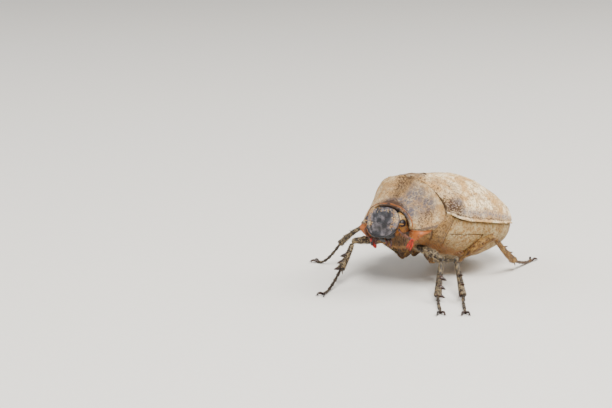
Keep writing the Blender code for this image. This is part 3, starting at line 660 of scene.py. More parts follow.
def scales(roots, along, out, long, wide, seed, splay=0.35):
    """Flat lozenge scales along a surface, each with a root, two sides, a tip, a crest and a keel."""
    draw = np.random.default_rng(seed)
    n = len(roots)
    side = np.cross(out, along)
    swing = draw.normal(0, splay, n)[:, None]
    along = unit(along + swing * side)
    side = np.cross(out, along)
    long = (long * draw.uniform(0.75, 1.2, n))[:, None]
    wide = (wide * draw.uniform(0.8, 1.15, n))[:, None]
    lift = (0.012 + 0.03 * draw.random(n))[:, None] * MM
    root = roots - out * 0.01 * MM
    middle = root + along * long * 0.5 + out * lift * 0.7
    points = np.stack(
        [
            root,
            middle - side * wide / 2,
            root + along * long + out * lift,
            middle + side * wide / 2,
            middle + out * 0.022 * MM,
            middle - out * 0.006 * MM,
        ],
        1,
    )
    above, below = [[0, 4, 1], [1, 4, 2], [2, 4, 3], [3, 4, 0]], [[0, 1, 5], [1, 2, 5], [2, 3, 5], [3, 0, 5]]
    faces = np.array(above + below)[None] + SCALE_CORNERS * np.arange(n)[:, None, None]
    return points.reshape(-1, 3), faces.reshape(-1, 3)


def hairs(roots, ways, long, radius, seed, droop=0.35):
    """Tapering three-sided hairs of four joints that leave their roots along the ways and then droop."""
    draw = np.random.default_rng(seed)
    n = len(roots)
    ways = unit(unit(ways) + draw.normal(0, 0.18, (n, 3)))
    long = (np.broadcast_to(long, n) * draw.uniform(0.6, 1.2, n))[:, None, None]
    share = np.array([0.0, 0.35, 0.7, 1.0])[None, :, None]
    middle = roots[:, None] + ways[:, None] * share * long
    middle = middle - UP * droop * long * share**2
    side = unit(np.cross(ways, np.array([0.2, 0.5, 0.84])))
    over = np.cross(side, ways)
    turn = np.arange(3) * 2 * np.pi / 3
    circle = np.cos(turn)[None, :, None] * side[:, None] + np.sin(turn)[None, :, None] * over[:, None]
    size = radius * np.array([1.0, 0.85, 0.55, 0.08])[None, :, None, None]
    points = middle[:, :, None] + circle[:, None] * size
    wall = grid_faces(4, 3, around=True)
    first = HAIR_CORNERS * np.arange(n)[:, None, None]
    quads = (wall[None] + first).reshape(-1, 4)
    triangles = np.concatenate([quads[:, [0, 1, 2]], quads[:, [0, 2, 3]]])
    ends = np.array([[2, 1, 0], [9, 10, 11]])[None] + first
    return points.reshape(-1, 3), np.concatenate([triangles, ends.reshape(-1, 3)])


def patches(t, s, each):
    """Map places for a coat: each scale or hair is a small patch about its root's shares t and s."""
    turn = np.linspace(0, 2 * np.pi, each, endpoint=False)
    spot = PATCH_ACROSS / 2 * np.stack([np.cos(turn), np.sin(turn)], 1)
    root = np.stack([0.01 + 0.98 * t, 0.01 + 0.98 * s], 1)
    return (root[:, None] + spot[None]).reshape(-1, 2)


def tints(count, corners, seed):
    """A random number between 0 and 1 for each scale or hair, repeated over its corners."""
    return np.repeat(np.random.default_rng(seed).random(count), corners)


def put_scales(name, found, finish, slot, long, wide, seed, **fields):
    """Puts scales at the places found, each with its own tint. A field is a number for each or for all."""
    roots, along, out, t, s = found
    points, faces = scales(roots, along, out, long, wide, seed)
    fields = {field: np.repeat(values + 0 * t, SCALE_CORNERS) for field, values in fields.items()}
    fields["tint"] = tints(len(roots), SCALE_CORNERS, seed + 1)
    put(name, points, faces, finish, slot, smooth=False, unwrap=patches(t, s, SCALE_CORNERS), **fields)


def put_hairs(name, found, ways, finish, slot, hair, seed, droop):
    """Puts hairs of a length and radius at the places found, along the ways, each with a tint of its own."""
    roots, t, s = found[0], found[3], found[4]
    points, faces = hairs(roots, ways, *hair, seed, droop)
    tint = tints(len(roots), HAIR_CORNERS, seed + 1)
    put(name, points, faces, finish, slot, unwrap=patches(t, s, HAIR_CORNERS), tint=tint)


# Finishes

# Settings that many nodes share: a soft step, a mix of colours, and a product with a number added
SMOOTH = {"interpolation_type": "SMOOTHSTEP"}
PAINTED = {"data_type": "RGBA"}
SCALED_SUM = {"operation": "MULTIPLY_ADD"}


def add(tree, kind, output, inputs=None, **settings):
    """Adds one shader node with its settings, sets or links its inputs, and gives the output asked for."""
    made = tree.nodes.new("ShaderNode" + kind)
    for key, value in settings.items():
        setattr(made, key, value)
    for key, value in (inputs or {}).items():
        if isinstance(value, bpy.types.NodeSocket):
            tree.links.new(value, made.inputs[key])
        else:
            made.inputs[key].default_value = value
    return made.outputs[output]


def new_finish(name, **constants):
    """A new material, whose shader's sockets take the constants, and its tree."""
    finish = bpy.data.materials.new(name)
    finish.use_nodes = True
    shader = finish.node_tree.nodes["Principled BSDF"]
    for socket, value in constants.items():
        shader.inputs[socket.replace("_", " ")].default_value = value
    return finish, finish.node_tree


def linked(finish, **ends):
    """The finish, with the ends of its patterns linked to the shader's sockets of the same names."""
    shader = finish.node_tree.nodes["Principled BSDF"]
    for socket, end in ends.items():
        finish.node_tree.links.new(end, shader.inputs[socket.replace("_", " ")])
    return finish


def rgba(paint):
    """A colour with its alpha, from a hex colour or from red, green and blue."""
    return (*(linear(paint) if isinstance(paint, str) else tuple(paint)[:3]), 1.0)


def coat_pattern(tree, single, pale, warm, worn, chilled, patch):
    """The coat's colour: clouds of pale and warm scales in patches, each scale a shade of its own.

    Over the clouds lie golden-brown mottles 0.7 mm across. The coat is worn where the field bare is high.
    Where the field cool is high it is chilled to a grey that paler veins part, 1.1 mm from vein to vein.
    """
    place = add(tree, "TexCoord", "Object")
    clouds = add(
        tree, "TexNoise", "Fac",
        {"Vector": place, "Scale": 1 / (patch * MM), "Detail": 6.0, "Roughness": 0.68},
    )
    mottles = add(
        tree, "TexNoise", "Fac", {"Vector": place, "Scale": 1 / (0.7 * MM), "Detail": 4.0, "Roughness": 0.72}
    )
    warp = add(tree, "TexNoise", "Color", {"Vector": place, "Scale": 1 / (1.1 * MM), "Detail": 2.0})
    bent = add(tree, "VectorMath", 0, {0: warp, 1: (1.2 * MM,) * 3, 2: place}, **SCALED_SUM)
    veins = add(
        tree, "TexVoronoi", "Distance", {"Vector": bent, "Scale": 1 / (1.1 * MM)}, feature="DISTANCE_TO_EDGE"
    )
    bare = add(tree, "Attribute", "Fac", attribute_name="bare")
    cool = add(tree, "Attribute", "Fac", attribute_name="cool")
    cloudy = add(tree, "MapRange", 0, {0: clouds, 1: 0.36, 2: 0.64}, **SMOOTH)
    tone = add(tree, "Math", 0, {0: single, 1: 0.45, 2: cloudy}, **SCALED_SUM)
    tone = add(tree, "MapRange", 0, {0: tone, 1: 0.1, 2: 1.25}, **SMOOTH)
    coat = add(tree, "Mix", 2, {0: tone, 6: rgba(pale), 7: rgba(warm)}, **PAINTED)
    spotty = add(tree, "MapRange", 0, {0: mottles, 1: 0.5, 2: 0.58, 4: 0.78}, **SMOOTH)
    coat = add(tree, "Mix", 2, {0: spotty, 6: coat, 7: rgba(worn)}, **PAINTED)
    rubbed = add(tree, "MapRange", 0, {0: bare, 1: 0.1, 2: 1.0, 4: 0.7}, **SMOOTH)
    coat = add(tree, "Mix", 2, {0: rubbed, 6: coat, 7: rgba(worn)}, **PAINTED)
    fields = add(tree, "MapRange", 0, {0: veins, 1: 0.0, 2: 0.13, 3: 0.32, 4: 1.0}, **SMOOTH)
    # On the wing cases the field cool is painted shade in the furrow above the side margin and a painted
    # bluish reflection behind the shoulder; on the pronotum it is its own lilac grey.
    chill = add(tree, "Math", 0, {0: cool, 1: fields}, operation="MULTIPLY")
    return add(tree, "Mix", 2, {0: chill, 6: coat, 7: rgba(chilled)}, **PAINTED)


# The default chilled grey is the colour of the wing cases' painted shade and painted bluish reflection.
def scaly_chitin(
    name, ground, pale, warm, worn="#a07a48", chilled="#67626b", grain=0.22, patch=3.2, roughness=0.6
):
    """Chitin under close-lying scales, grown and then dusted: a dull pale coat over dark cuticle.

    Real scales are 0.15 to 0.3 mm long, so the cell pattern has that size. Single scales are rubbed off in
    dots 0.4 mm across, more of them where the field bare is high, which shows the dark cuticle, and the field
    mark lays a dark line. To the eye it is powdery, with no sharp shine.
    """
    finish, tree = new_finish(name, Sheen_Weight=0.06, Sheen_Roughness=0.5, Specular_IOR_Level=0.3)
    place = add(tree, "TexCoord", "Object")
    cells = add(
        tree, "TexVoronoi", "Distance", {"Vector": place, "Scale": 1 / (grain * MM), "Randomness": 0.9}
    )
    single = add(tree, "SeparateColor", "Red", {"Color": cells.node.outputs["Color"]})
    dots = add(
        tree, "TexNoise", "Fac", {"Vector": place, "Scale": 1 / (0.4 * MM), "Detail": 3.0, "Roughness": 0.7}
    )
    fine = add(
        tree, "TexNoise", "Fac", {"Vector": place, "Scale": 1 / (0.16 * MM), "Detail": 2.0, "Roughness": 0.6}
    )
    coat = coat_pattern(tree, single, pale, warm, worn, chilled, patch)
    edge = add(tree, "MapRange", 0, {0: cells, 1: 0.3, 2: 0.75, 4: 0.45}, **SMOOTH)
    coat = add(tree, "Mix", 2, {0: edge, 6: coat, 7: rgba(ground)}, **PAINTED)
    bare = add(tree, "Attribute", "Fac", attribute_name="bare")
    # On the wing cases and along the pronotum's hind edge the field mark is painted shade; elsewhere it lays
    # dark lines of the coat and joints.
    mark = add(tree, "Attribute", "Fac", attribute_name="mark")
    gone = add(tree, "Math", 0, {0: bare, 1: 0.17, 2: dots}, **SCALED_SUM)
    gone = add(tree, "Math", 0, {0: mark, 1: 0.5, 2: gone}, **SCALED_SUM)
    gone = add(tree, "MapRange", 0, {0: gone, 1: 0.6, 2: 0.66, 4: 0.9}, **SMOOTH)
    coat = add(tree, "Mix", 2, {0: gone, 6: coat, 7: rgba(ground)}, **PAINTED)
    shine = add(tree, "Math", 0, {0: gone, 1: -0.2, 2: roughness}, **SCALED_SUM)
    height = add(tree, "Math", 0, {0: fine, 1: 0.5, 2: cells}, **SCALED_SUM)
    height = add(tree, "Math", 0, {0: height, 1: gone}, operation="SUBTRACT")
    bump = add(tree, "Bump", 0, {"Height": height, "Distance": 0.05 * MM, "Strength": 0.55})
    return linked(finish, Base_Color=coat, Roughness=shine, Normal=bump)


# The default chilled grey is the colour of the wing cases' painted shade and painted bluish reflection.
def loose_scale(
    name, pale, warm, worn="#a07a48", chilled="#746f78", dark="#3b2616", darkness=0.06, patch=3.2
):
    """Single chitin scales, thin and dry: the pattern of the coat below, with a share of them dark.

    To the eye they are dull and a little ribbed. Their ribs are some 0.002 mm apart and are drawn as a grain
    of 0.05 mm.
    """
    finish, tree = new_finish(name, Roughness=0.55, Sheen_Weight=0.06, Specular_IOR_Level=0.35)
    tint = add(tree, "Attribute", "Fac", attribute_name="tint")
    place = add(tree, "TexCoord", "Object")
    streak = add(tree, "TexNoise", "Fac", {"Vector": place, "Scale": 1 / (0.05 * MM), "Detail": 1.0})
    coat = coat_pattern(tree, tint, pale, warm, worn, chilled, patch)
    few = add(tree, "MapRange", 0, {0: tint, 1: 1 - darkness, 2: 1.02 - darkness}, **SMOOTH)
    coat = add(tree, "Mix", 2, {0: few, 6: coat, 7: rgba(dark)}, **PAINTED)
    bump = add(tree, "Bump", 0, {"Height": streak, "Distance": 0.01 * MM, "Strength": 0.4})
    return linked(finish, Base_Color=coat, Normal=bump)


def punctured_chitin(name, dark, pale, grain=0.3, roughness=0.38, coat=0.1):
    """Hard bare chitin with a puncture every fraction of a millimetre, as grown and a little powdered.

    To the eye it has a soft broken shine, with painted shade in each puncture, and paler where the field pale
    is high.
    """
    finish, tree = new_finish(name, Coat_Weight=coat, Coat_Roughness=0.25)
    place = add(tree, "TexCoord", "Object")
    pits = add(
        tree, "TexVoronoi", "Distance", {"Vector": place, "Scale": 1 / (grain * MM), "Randomness": 0.8}
    )
    clouds = add(
        tree, "TexNoise", "Fac", {"Vector": place, "Scale": 1 / (1.1 * MM), "Detail": 5.0, "Roughness": 0.7}
    )
    light = add(tree, "Attribute", "Fac", attribute_name="pale")
    cloudy = add(tree, "MapRange", 0, {0: clouds, 1: 0.42, 2: 0.62}, **SMOOTH)
    dusty = add(tree, "Math", 0, {0: cloudy, 1: 0.45, 2: light}, **SCALED_SUM)
    dusty = add(tree, "MapRange", 0, {0: dusty, 1: 0.1, 2: 1.1}, **SMOOTH)
    skin = add(tree, "Mix", 2, {0: dusty, 6: rgba(dark), 7: rgba(pale)}, **PAINTED)
    # Painted shade: each puncture is darkened, down to a third of the dark colour.
    pit = add(tree, "MapRange", 0, {0: pits, 1: 0.18, 2: 0.34, 3: 0.75, 4: 0.0}, **SMOOTH)
    deep = [0.35 * part for part in rgba(dark)[:3]]
    skin = add(tree, "Mix", 2, {0: pit, 6: skin, 7: rgba(deep)}, **PAINTED)
    rough = add(tree, "Math", 0, {0: dusty, 1: 0.22, 2: roughness}, **SCALED_SUM)
    height = add(tree, "Math", 0, {0: clouds, 1: 0.3}, operation="MULTIPLY")
    height = add(tree, "Math", 0, {0: height, 1: pit}, operation="SUBTRACT")
    bump = add(tree, "Bump", 0, {"Height": height, "Distance": 0.05 * MM, "Strength": 0.6})
    return linked(finish, Base_Color=skin, Roughness=rough, Normal=bump)


def horny_chitin(name, edge, body, roughness=0.3, glow=0.0):
    """Thin smooth chitin, amber to brown, as grown: glossy and a little see-through.

    It is darker at its edges and wherever else the field pale is low.
    """
    finish, tree = new_finish(
        name, Subsurface_Weight=glow, Subsurface_Radius=(0.6, 0.25, 0.1), Subsurface_Scale=0.5 * MM,
        Coat_Weight=0.06,
    )
    place = add(tree, "TexCoord", "Object")
    clouds = add(
        tree, "TexNoise", "Fac", {"Vector": place, "Scale": 1 / (0.9 * MM), "Detail": 4.0, "Roughness": 0.6}
    )
    grainy = add(tree, "TexNoise", "Fac", {"Vector": place, "Scale": 1 / (0.12 * MM), "Detail": 2.0})
    light = add(tree, "Attribute", "Fac", attribute_name="pale")
    cloudy = add(tree, "MapRange", 0, {0: clouds, 1: 0.35, 2: 0.7, 4: 0.45}, **SMOOTH)
    tone = add(tree, "Math", 0, {0: cloudy, 1: light}, operation="ADD")
    tone = add(tree, "MapRange", 0, {0: tone, 1: 0.1, 2: 1.1}, **SMOOTH)
    skin = add(tree, "Mix", 2, {0: tone, 6: rgba(edge), 7: rgba(body)}, **PAINTED)
    rough = add(tree, "Math", 0, {0: clouds, 1: 0.15, 2: roughness}, **SCALED_SUM)
    bump = add(tree, "Bump", 0, {"Height": grainy, "Distance": 0.02 * MM, "Strength": 0.35})
    return linked(finish, Base_Color=skin, Roughness=rough, Normal=bump)


def faceted_cornea(name):
    """The cornea of a compound eye, as grown: near black, with a soft shine broken up by its facets.

    Its facets are 0.03 mm wide and drawn three times as coarse, to show in the render.
    """
    finish, tree = new_finish(name, Roughness=0.42, Coat_Weight=0.05, Coat_Roughness=0.3)
    place = add(tree, "TexCoord", "Object")
    facets = add(
        tree, "TexVoronoi", "Distance", {"Vector": place, "Scale": 1 / (0.09 * MM), "Randomness": 0.12}
    )
    clouds = add(tree, "TexNoise", "Fac", {"Vector": place, "Scale": 1 / (0.6 * MM), "Detail": 2.0})
    tone = add(tree, "MapRange", 0, {0: clouds, 1: 0.35, 2: 0.7}, **SMOOTH)
    glint = add(tree, "Mix", 2, {0: tone, 6: rgba("#0d080c"), 7: rgba("#261620")}, **PAINTED)
    bump = add(tree, "Bump", 0, {"Height": facets, "Distance": 0.03 * MM, "Strength": 0.6}, invert=True)
    return linked(finish, Base_Color=glint, Normal=bump)


def hair_finish(name, dark, light):
    """Setae, grown as thin chitin hairs: a silky shine, each hair its own shade between two."""
    finish, tree = new_finish(name, Roughness=0.42, Sheen_Weight=0.2)
    tint = add(tree, "Attribute", "Fac", attribute_name="tint")
    place = add(tree, "TexCoord", "Object")
    clouds = add(tree, "TexNoise", "Fac", {"Vector": place, "Scale": 1 / (0.3 * MM), "Detail": 2.0})
    tone = add(tree, "Math", 0, {0: tint, 1: 0.7}, operation="MULTIPLY")
    tone = add(tree, "Math", 0, {0: clouds, 1: 0.4, 2: tone}, **SCALED_SUM)
    shade = add(tree, "Mix", 2, {0: tone, 6: rgba(dark), 7: rgba(light)}, **PAINTED)
    return linked(finish, Base_Color=shade)


def studio_card(name, pale):
    """Matt studio card, rolled paper: flat and shadow-soft, with a faint tooth 1.5 mm across."""
    finish, tree = new_finish(name, Roughness=0.85, Specular_IOR_Level=0.2)
    place = add(tree, "TexCoord", "Object")
    tooth = add(tree, "TexNoise", "Fac", {"Vector": place, "Scale": 1 / (1.5 * MM), "Detail": 3.0})
    dim = [0.96 * part for part in pale]
    card = add(tree, "Mix", 2, {0: tooth, 6: rgba(pale), 7: rgba(dim)}, **PAINTED)
    return linked(finish, Base_Color=card)


def on_wall(field):
    """A field of a plate's outer surface and again for its inner one, in the order of the plate's points."""
    return np.concatenate([field, field[:, ::-1]], 1)


def patchy(points, mean, swing, size, seed):
    """A field that wanders about its mean in soft patches of the size, kept between 0 and 1."""
    return np.clip(mean + swing * ripple(points, size, seed), 0, 1)


def through(stations, stops, share):
    """Places on a smooth line through the stops, one for each station, at the share of its length."""
    return np.stack([profile(stations, column)(share) for column in np.transpose(stops)], 1)


def rounded_end(share, start, reach, most):
    """The size of a limb whose last part, from the start on, closes like a ball."""
    return np.sqrt(1 - np.clip((share - start) / reach, 0, most) ** 2)


def wing_wear(t, s):
    """Where the wing cases' scales are rubbed: a field at the base with a slanting end, and the seam."""
    slant = 0.15 + 0.05 * bell(s - 0.45, 0.25) - 0.09 * rise(s, 0.55, 1.0)
    base = 0.42 * (1 - rise(t, slant - 0.02, slant + 0.01)) * rise(s, 0.02, 0.1)
    shoulder = 1.15 * bell(t - 0.07, 0.055) * bell(s - 0.19, 0.12)
    seam = 0.6 * bell(1 - s, 0.05) * (1 - rise(t, 0.1, 0.6))
    return np.clip(base + shoulder + seam + 0.15 * (1 - rise(t, 0.15, 0.5)) + 0.05, 0, 1.5)


def wing_shade_and_reflection(t, s):
    """Painted bluish grey of the wing cases: a reflection behind the shoulder, shade in the furrow above the
    side margin.
    """
    patch = 1.1 * bell(t - 0.1, 0.045) * bell(s - 0.24, 0.06)
    front = 0.8 * bell(t - 0.03, 0.03) * bell(s - 0.15, 0.08)
    furrow = 0.8 * bell(s - 0.1, 0.05) * rise(t, 0.04, 0.12) * (1 - rise(t, 0.7, 1.0))
    return np.clip(patch + front + furrow, 0, 1)


def wing_seam_line_and_shade(t, s):
    """The wing cases' dark lines: painted shade along the base and above the rolled margin, and a line beside
    the seam.
    """
    base = 0.8 * bell(t, 0.0035)
    margin = 0.9 * bell(s - 0.042, 0.009) * (1 - 0.5 * rise(t, 0.3, 0.9))
    return np.clip(base + margin + 0.7 * bell(1 - s, 0.012), 0, 1)


def wing_keep(t, s):
    """The share of the wing cases' scales still on: smaller where they are rubbed, on the painted shade lines
    and beside the seam.
    """
    return 1 - 0.78 * np.clip(wing_wear(t, s) - 0.1, 0, 1) - 0.6 * wing_seam_line_and_shade(t, s)


class BEETLE_OT_wing_cases(bpy.types.Operator):
    """Both wing cases with their scales, and the scutellum"""

    bl_idname = "beetle.wing_cases"
    bl_label = "Wing cases"
    bl_options = {"REGISTER", "UNDO"}

    def execute(self, context):
        paint, sizes = context.scene.beetle_colours, context.scene.beetle_coat
        cream, gold = paint.wing_cream, paint.wing_gold
        skin = scaly_chitin("wing_case_chitin_with_cream_scales", paint.wing_ground, cream, gold)
        loose = loose_scale("wing_case_scales_dry", cream, gold)
        count = min(int(WING_AREA / sizes.scale_spacing**2), MOST_SCALES)
        t, s = grid(150, 110)
        # The fields cool and mark lay painted shade and a painted bluish reflection on the wing cases; bare
        # is real wear.
        looks = {"bare": wing_wear, "cool": wing_shade_and_reflection, "mark": wing_seam_line_and_shade}
        fields = {field: on_wall(look(t, s)) for field, look in looks.items()}
        for side, word in ((1, "left"), (-1, "right")):
            points, faces = walled(wing_case(t, s, side), wing_case(t, s, side, -PLATE_WALL))
            put("wing_case_" + word, points, faces, skin, "scaled_cream", ["elytron_" + word], **fields)
            found = rooted(lambda t, s: wing_case(t, s, side), count, 31 + side, wing_keep)
            roots, along, out, t1, s1 = found
            put_scales(
                "wing_scales_" + word, (roots, along, out * side, t1, s1), loose, "scaled_cream",
                sizes.scale_length, sizes.scale_width, 41 + side,
                cool=wing_shade_and_reflection(t1, s1), bare=wing_wear(t1, s1),
            )
        t, s = grid(30, 40, 0.0, 0.995)
        points, faces = walled(scutellum_plate(t, s), scutellum_plate(t, s, -PLATE_WALL))
        fields = {"bare": 0.7, "cool": 0.1, "mark": 0.0}
        put("scutellum_shield", points, faces, skin, "scaled_cream", ["scutellum"], **fields)
        return {"FINISHED"}


def shield_wear(t, s):
    """Where the pronotum's scales are rubbed: along its middle, above the head and low at the left."""
    middle = 1.2 * bell(s - 0.5, 0.05) * (0.6 + 0.4 * rise(t, 0.1, 0.3))
    front = 0.9 * bell(t - 0.04, 0.08) * bell(s - 0.46, 0.16)
    low = 0.8 * bell(s - 0.1, 0.1) * rise(t, 0.1, 0.3) * (1 - rise(t, 0.5, 0.8))
    return np.clip(middle + front + low + 0.3 * bell(s - 0.38, 0.1) * rise(t, 0.55, 0.9) + 0.2, 0, 1.4)


def shield_cool(t, s, places):
    """Where the pronotum is lilac grey: at its left and above the head, in clouds 3.2 mm across."""
    left = 0.8 * rise(0.5 - s, 0.02, 0.1) * rise(s, 0.06, 0.18) * (1 - 0.5 * rise(t, 0.7, 1.0))
    front = 1.8 * bell(t - 0.08, 0.11) * bell(s - 0.43, 0.14)
    cool = np.clip(left + 0.1 * rise(s, 0.5, 0.6) + front - 0.9 * bell(t - 1, 0.18), 0, 1)
    clouds = 0.5 + 0.5 * np.clip(ripple(places, 3.2 * MM, 21), -1, 1)
    return cool * (0.65 + 0.45 * clouds)


def shield_mark(t, s):
    """The pronotum's dark lines: behind its front rim and above its side margins, and painted shade along its
    hind edge.
    """
    aside = np.minimum(s, 1 - s)
    brow = 0.75 * bell(t - 0.07, 0.07) * bell(s - 0.44, 0.12)
    # Painted shade along the hind edge, in the joint with the wing cases; a dark line above the side margins.
    edges = 0.9 * bell(1 - t, 0.012) + 0.8 * bell(aside - 0.0085, 0.004)
    return np.clip(bell(t - 0.05, 0.014) + brow + edges, 0, 1)


def shield_keep(t, s):
    """The share of the pronotum's scales still on: smaller where they are rubbed, on the dark lines and on
    the painted shade.
    """
    return 1 - 0.7 * np.clip(shield_wear(t, s) - 0.2, 0, 1) - shield_mark(t, s)


class BEETLE_OT_pronotum(bpy.types.Operator):
    """The pronotum with its rolled margins and scales, its underside and the collar behind the head"""

    bl_idname = "beetle.pronotum"
    bl_label = "Pronotum"
    bl_options = {"REGISTER", "UNDO"}

    def execute(self, context):
        paint = context.scene.beetle_colours
        coat = {"pale": paint.shield_cream, "warm": "#a5804c", "chilled": paint.shield_lilac, "patch": 1.5}
        skin = scaly_chitin("pronotum_chitin_with_lilac_scales", paint.wing_ground, **coat)
        loose = loose_scale("pronotum_scales_dry", **coat)
        # The amber's near-black end is the prosternum's own dark brown and painted shade on the underside and
        # collar.
        amber = horny_chitin("hypomeron_chitin_amber", "#1c0f07", paint.orange, 0.55, 0.06)
        t, s = grid(120, 220)
        top = shield(t, s)
        points, faces = walled(top, shield(t, s, -PLATE_WALL))
        looks = {"bare": shield_wear(t, s), "cool": shield_cool(t, s, top), "mark": shield_mark(t, s)}
        fields = {field: on_wall(look) for field, look in looks.items()}
        put("pronotum", points, faces, skin, "scaled_grey", ["prothorax"], **fields)
        found = rooted(shield, 7500, 51, shield_keep, (0.02, 0.98))
        t, s = found[3:]
        put_scales(
            "pronotum_scales", found, loose, "scaled_grey", *SHIELD_SCALE, 52,
            cool=shield_cool(t, s, found[0]), bare=shield_wear(t, s),
        )
        self.below(amber)
        self.rim(horny_chitin("pronotum_rim_chitin_orange", "#2e1506", "#84480f", 0.42, 0.05))
        return {"FINISHED"}

    def rim(self, orange):
        """The thickened front edge of the pronotum: a bead that runs round the head from side to side."""
        s = np.linspace(0.0, 1.0, 260)
        path = shield(np.full_like(s, 0.012), s, 0.02 * MM)
        radii = 0.13 * MM * np.sqrt(np.clip(1 - (2 * s - 1) ** 10, 0.02, 1))
        points, faces = capped(tube(path, radii, 16, 0.8, WAIST - path))
        pale = patchy(points, 0.55, 0.3, 1.2 * MM, 62)
        put("pronotum_front_rim", points, faces, orange, "scaled_grey", ["prothorax"], pale=pale)

    def below(self, amber):
        """A closed body of rings: the underside, an arch inside the pronotum, and a collar in front."""
        t, s = grid(70, 90)
        rings = np.concatenate([underside(t, s), shield(t, 1 - s, -0.56 * MM)[:, 1:-1]], 1)
        first, middle, backwards = rings[0], rings[0].mean(0), TURN[:, 1]
        # Each ring of the collar by its share of the first ring's breadth and how far behind it lies, in mm
        steps = ((0.35, 1.1), (0.6, 1.2), (0.72, 1.25), (0.84, 1.2), (0.92, 0.8), (0.96, 0.3))
        collar = [middle + (first - middle) * share + backwards * deep * MM for share, deep in steps]
        rings = np.concatenate([collar, rings])
        points, faces = capped(rings)
        aside = np.abs((rings - WAIST) @ TURN[:, 0])
        # Orange only at the sides; inward, the prosternum's own dark brown is darkened further as painted
        # shade.
        light = 1.5 * rise(aside, 4.2 * MM, 5.8 * MM) - 0.5
        # The collar is the neck's dark membrane, darkened further as painted shade.
        light[: len(steps)] = 0.8 * rise(aside[: len(steps)], 2.6 * MM, 4.2 * MM) - 0.45
        mottle = 0.2 * ripple(points, 1.2 * MM, 61) + 0.12 * ripple(points, 0.45 * MM, 66)
        light = with_caps(light).ravel() + mottle
        put("prothorax_underside", points, faces, amber, "scaled_grey", ["prothorax"], pale=light)
        gold = hair_finish("golden_setae_of_the_throat", "#6b3a10", "#c08a3a")
        found = rooted(underside, 1500, 63, lambda t, s: bell(s - 0.5, 0.3), (0.05, 0.95))
        ways = 0.7 * (found[1] - found[2])
        put_hairs("throat_hairs", found, ways, gold, "scaled_grey", THROAT_HAIR, 64, 0.15)


def belly_look(t, s):
    """The coat of the breast and belly: where it is rubbed bare, and the dark lines of its joints."""
    y, z, first, seam, lower = breast_lines(t, s)
    in_front = rise(-seam, -0.1 * MM, 0.1 * MM)
    low = rise(-z, 3.4 * MM, 6 * MM) * rise(THORAX_LENGTH - y, 0, 2 * MM)
    behind = rise(seam, 0.5 * MM, 1.0 * MM) * rise(THORAX_LENGTH - y, 0, 0.3 * MM)
    mark = bell(first, 0.15 * MM) + 0.8 * bell(seam, 0.11 * MM)
    mark += 0.75 * bell(lower, 0.1 * MM) * behind + 0.6 * bell(y - THORAX_LENGTH, 0.12 * MM)
    phase = belly_phase(ELYTRON_LENGTH * t)
    on_belly = rise(y, THORAX_LENGTH, THORAX_LENGTH + 0.5 * MM)
    mark += 0.55 * bell(np.minimum(phase, 1 - phase), 0.035) * on_belly
    return np.clip(0.12 + 0.6 * in_front + 0.4 * low, 0, 1), np.clip(mark, 0, 1)


def low_on_breast(t, s):
    """Where the breast is hairy: in the middle of its underside, in front of the belly."""
    return rise(bell(s - 0.5, 0.33), 0.5, 0.75) * (1 - rise(t, 0.4, 0.46))


def tail_plate(t, turn):
    """The plate that closes the abdomen, at the share t from border to middle and the angle turn round it.

    Half an ellipsoid on an oval, with a swollen border and a low keel down its middle.
    """
    size = np.sqrt(1 - t**2)
    border = 0.1 * MM * bell(t, 0.12)
    x = (5.1 * MM * size + border) * signed_power(np.cos(turn), 0.9)
    z = (2.4 * MM * size + border) * np.sin(turn) - 2.4 * MM
    keel = 0.12 * MM * bell(x, 0.5 * MM) * size
    return stood(x, ELYTRON_LENGTH - TAIL_GAP + JOINT + 1.5 * MM * t + keel, z)


class BEETLE_OT_breast(bpy.types.Operator):
    """Breast, belly and pygidium with their khaki scales, and the golden hairs low on the breast"""

    bl_idname = "beetle.breast"
    bl_label = "Breast and belly"
    bl_options = {"REGISTER", "UNDO"}

    def execute(self, context):
        paint, sizes = context.scene.beetle_colours, context.scene.beetle_coat
        coat = {"pale": paint.khaki, "warm": "#a08150", "worn": "#8c6024", "patch": 2.4}
        skin = scaly_chitin("breast_chitin_with_khaki_scales", paint.khaki_brown, **coat)
        loose = loose_scale("breast_scales_dry", **coat)
        end = 1 - (TAIL_GAP + 0.05 * MM) / ELYTRON_LENGTH
        t, s = grid(190, 150, 0.0, end)
        above, across = grid(190, 60, 0.0, end)
        points, faces = capped(np.concatenate([breast(t, s), roof(above, across)], 1))
        bare, mark = (with_caps(np.concatenate([field, 0 * above], 1)) for field in belly_look(t, s))
        slots = ["thorax", "abdomen"]
        put("breast_and_belly", points, faces, skin, "khaki", slots, bare=bare, cool=0.0, mark=mark)
        found = rooted(breast, 9000, 71, lambda t, s: 1 - 0.8 * sum(belly_look(t, s)), (0.01, 0.95))
        roots, along, out, t, s = found
        found, bare = (roots, along, -out, t, s), belly_look(t, s)[0]
        put_scales("breast_scales", found, loose, "khaki", *BREAST_SCALE, 72, cool=0.0, bare=bare)

        lift, turn = rounds(26, 64, 0.0, 0.985 * np.pi / 2)
        points, faces = capped(tail_plate(np.sin(lift), turn))
        put("pygidium_shield", points, faces, skin, "khaki", ["pygidium"], bare=0.2, cool=0.0, mark=0.0)

        gold = hair_finish("golden_setae_of_the_breast", "#8a5a22", paint.gold)
        found = rooted(breast, 2600, 81, low_on_breast, (0.01, 0.46))
        ways = 0.8 * found[1] - 0.7 * found[2]
        put_hairs("breast_hairs", found, ways, gold, "khaki", (sizes.hair_length, sizes.hair_radius), 82, 0.2)
        return {"FINISHED"}


def in_head(points):
    """Places in the head's own frame, turned and moved to where the head is held."""
    return np.asarray(points) @ HEAD_TURN.T + NECK


def face_height(share):
    """How far down the face, from 0 at the crown to 1 at the mouth edge, the share of its rings lies."""
    return 0.5 - 0.5 * np.cos(np.pi * share)


def face_half(share):
    """Half the breadth of the face: a disc a little squarer than a circle, and broadest above its middle."""
    return FACE_HALF * np.sin(np.pi * share) ** 0.78 * (1.04 - 0.09 * face_height(share))


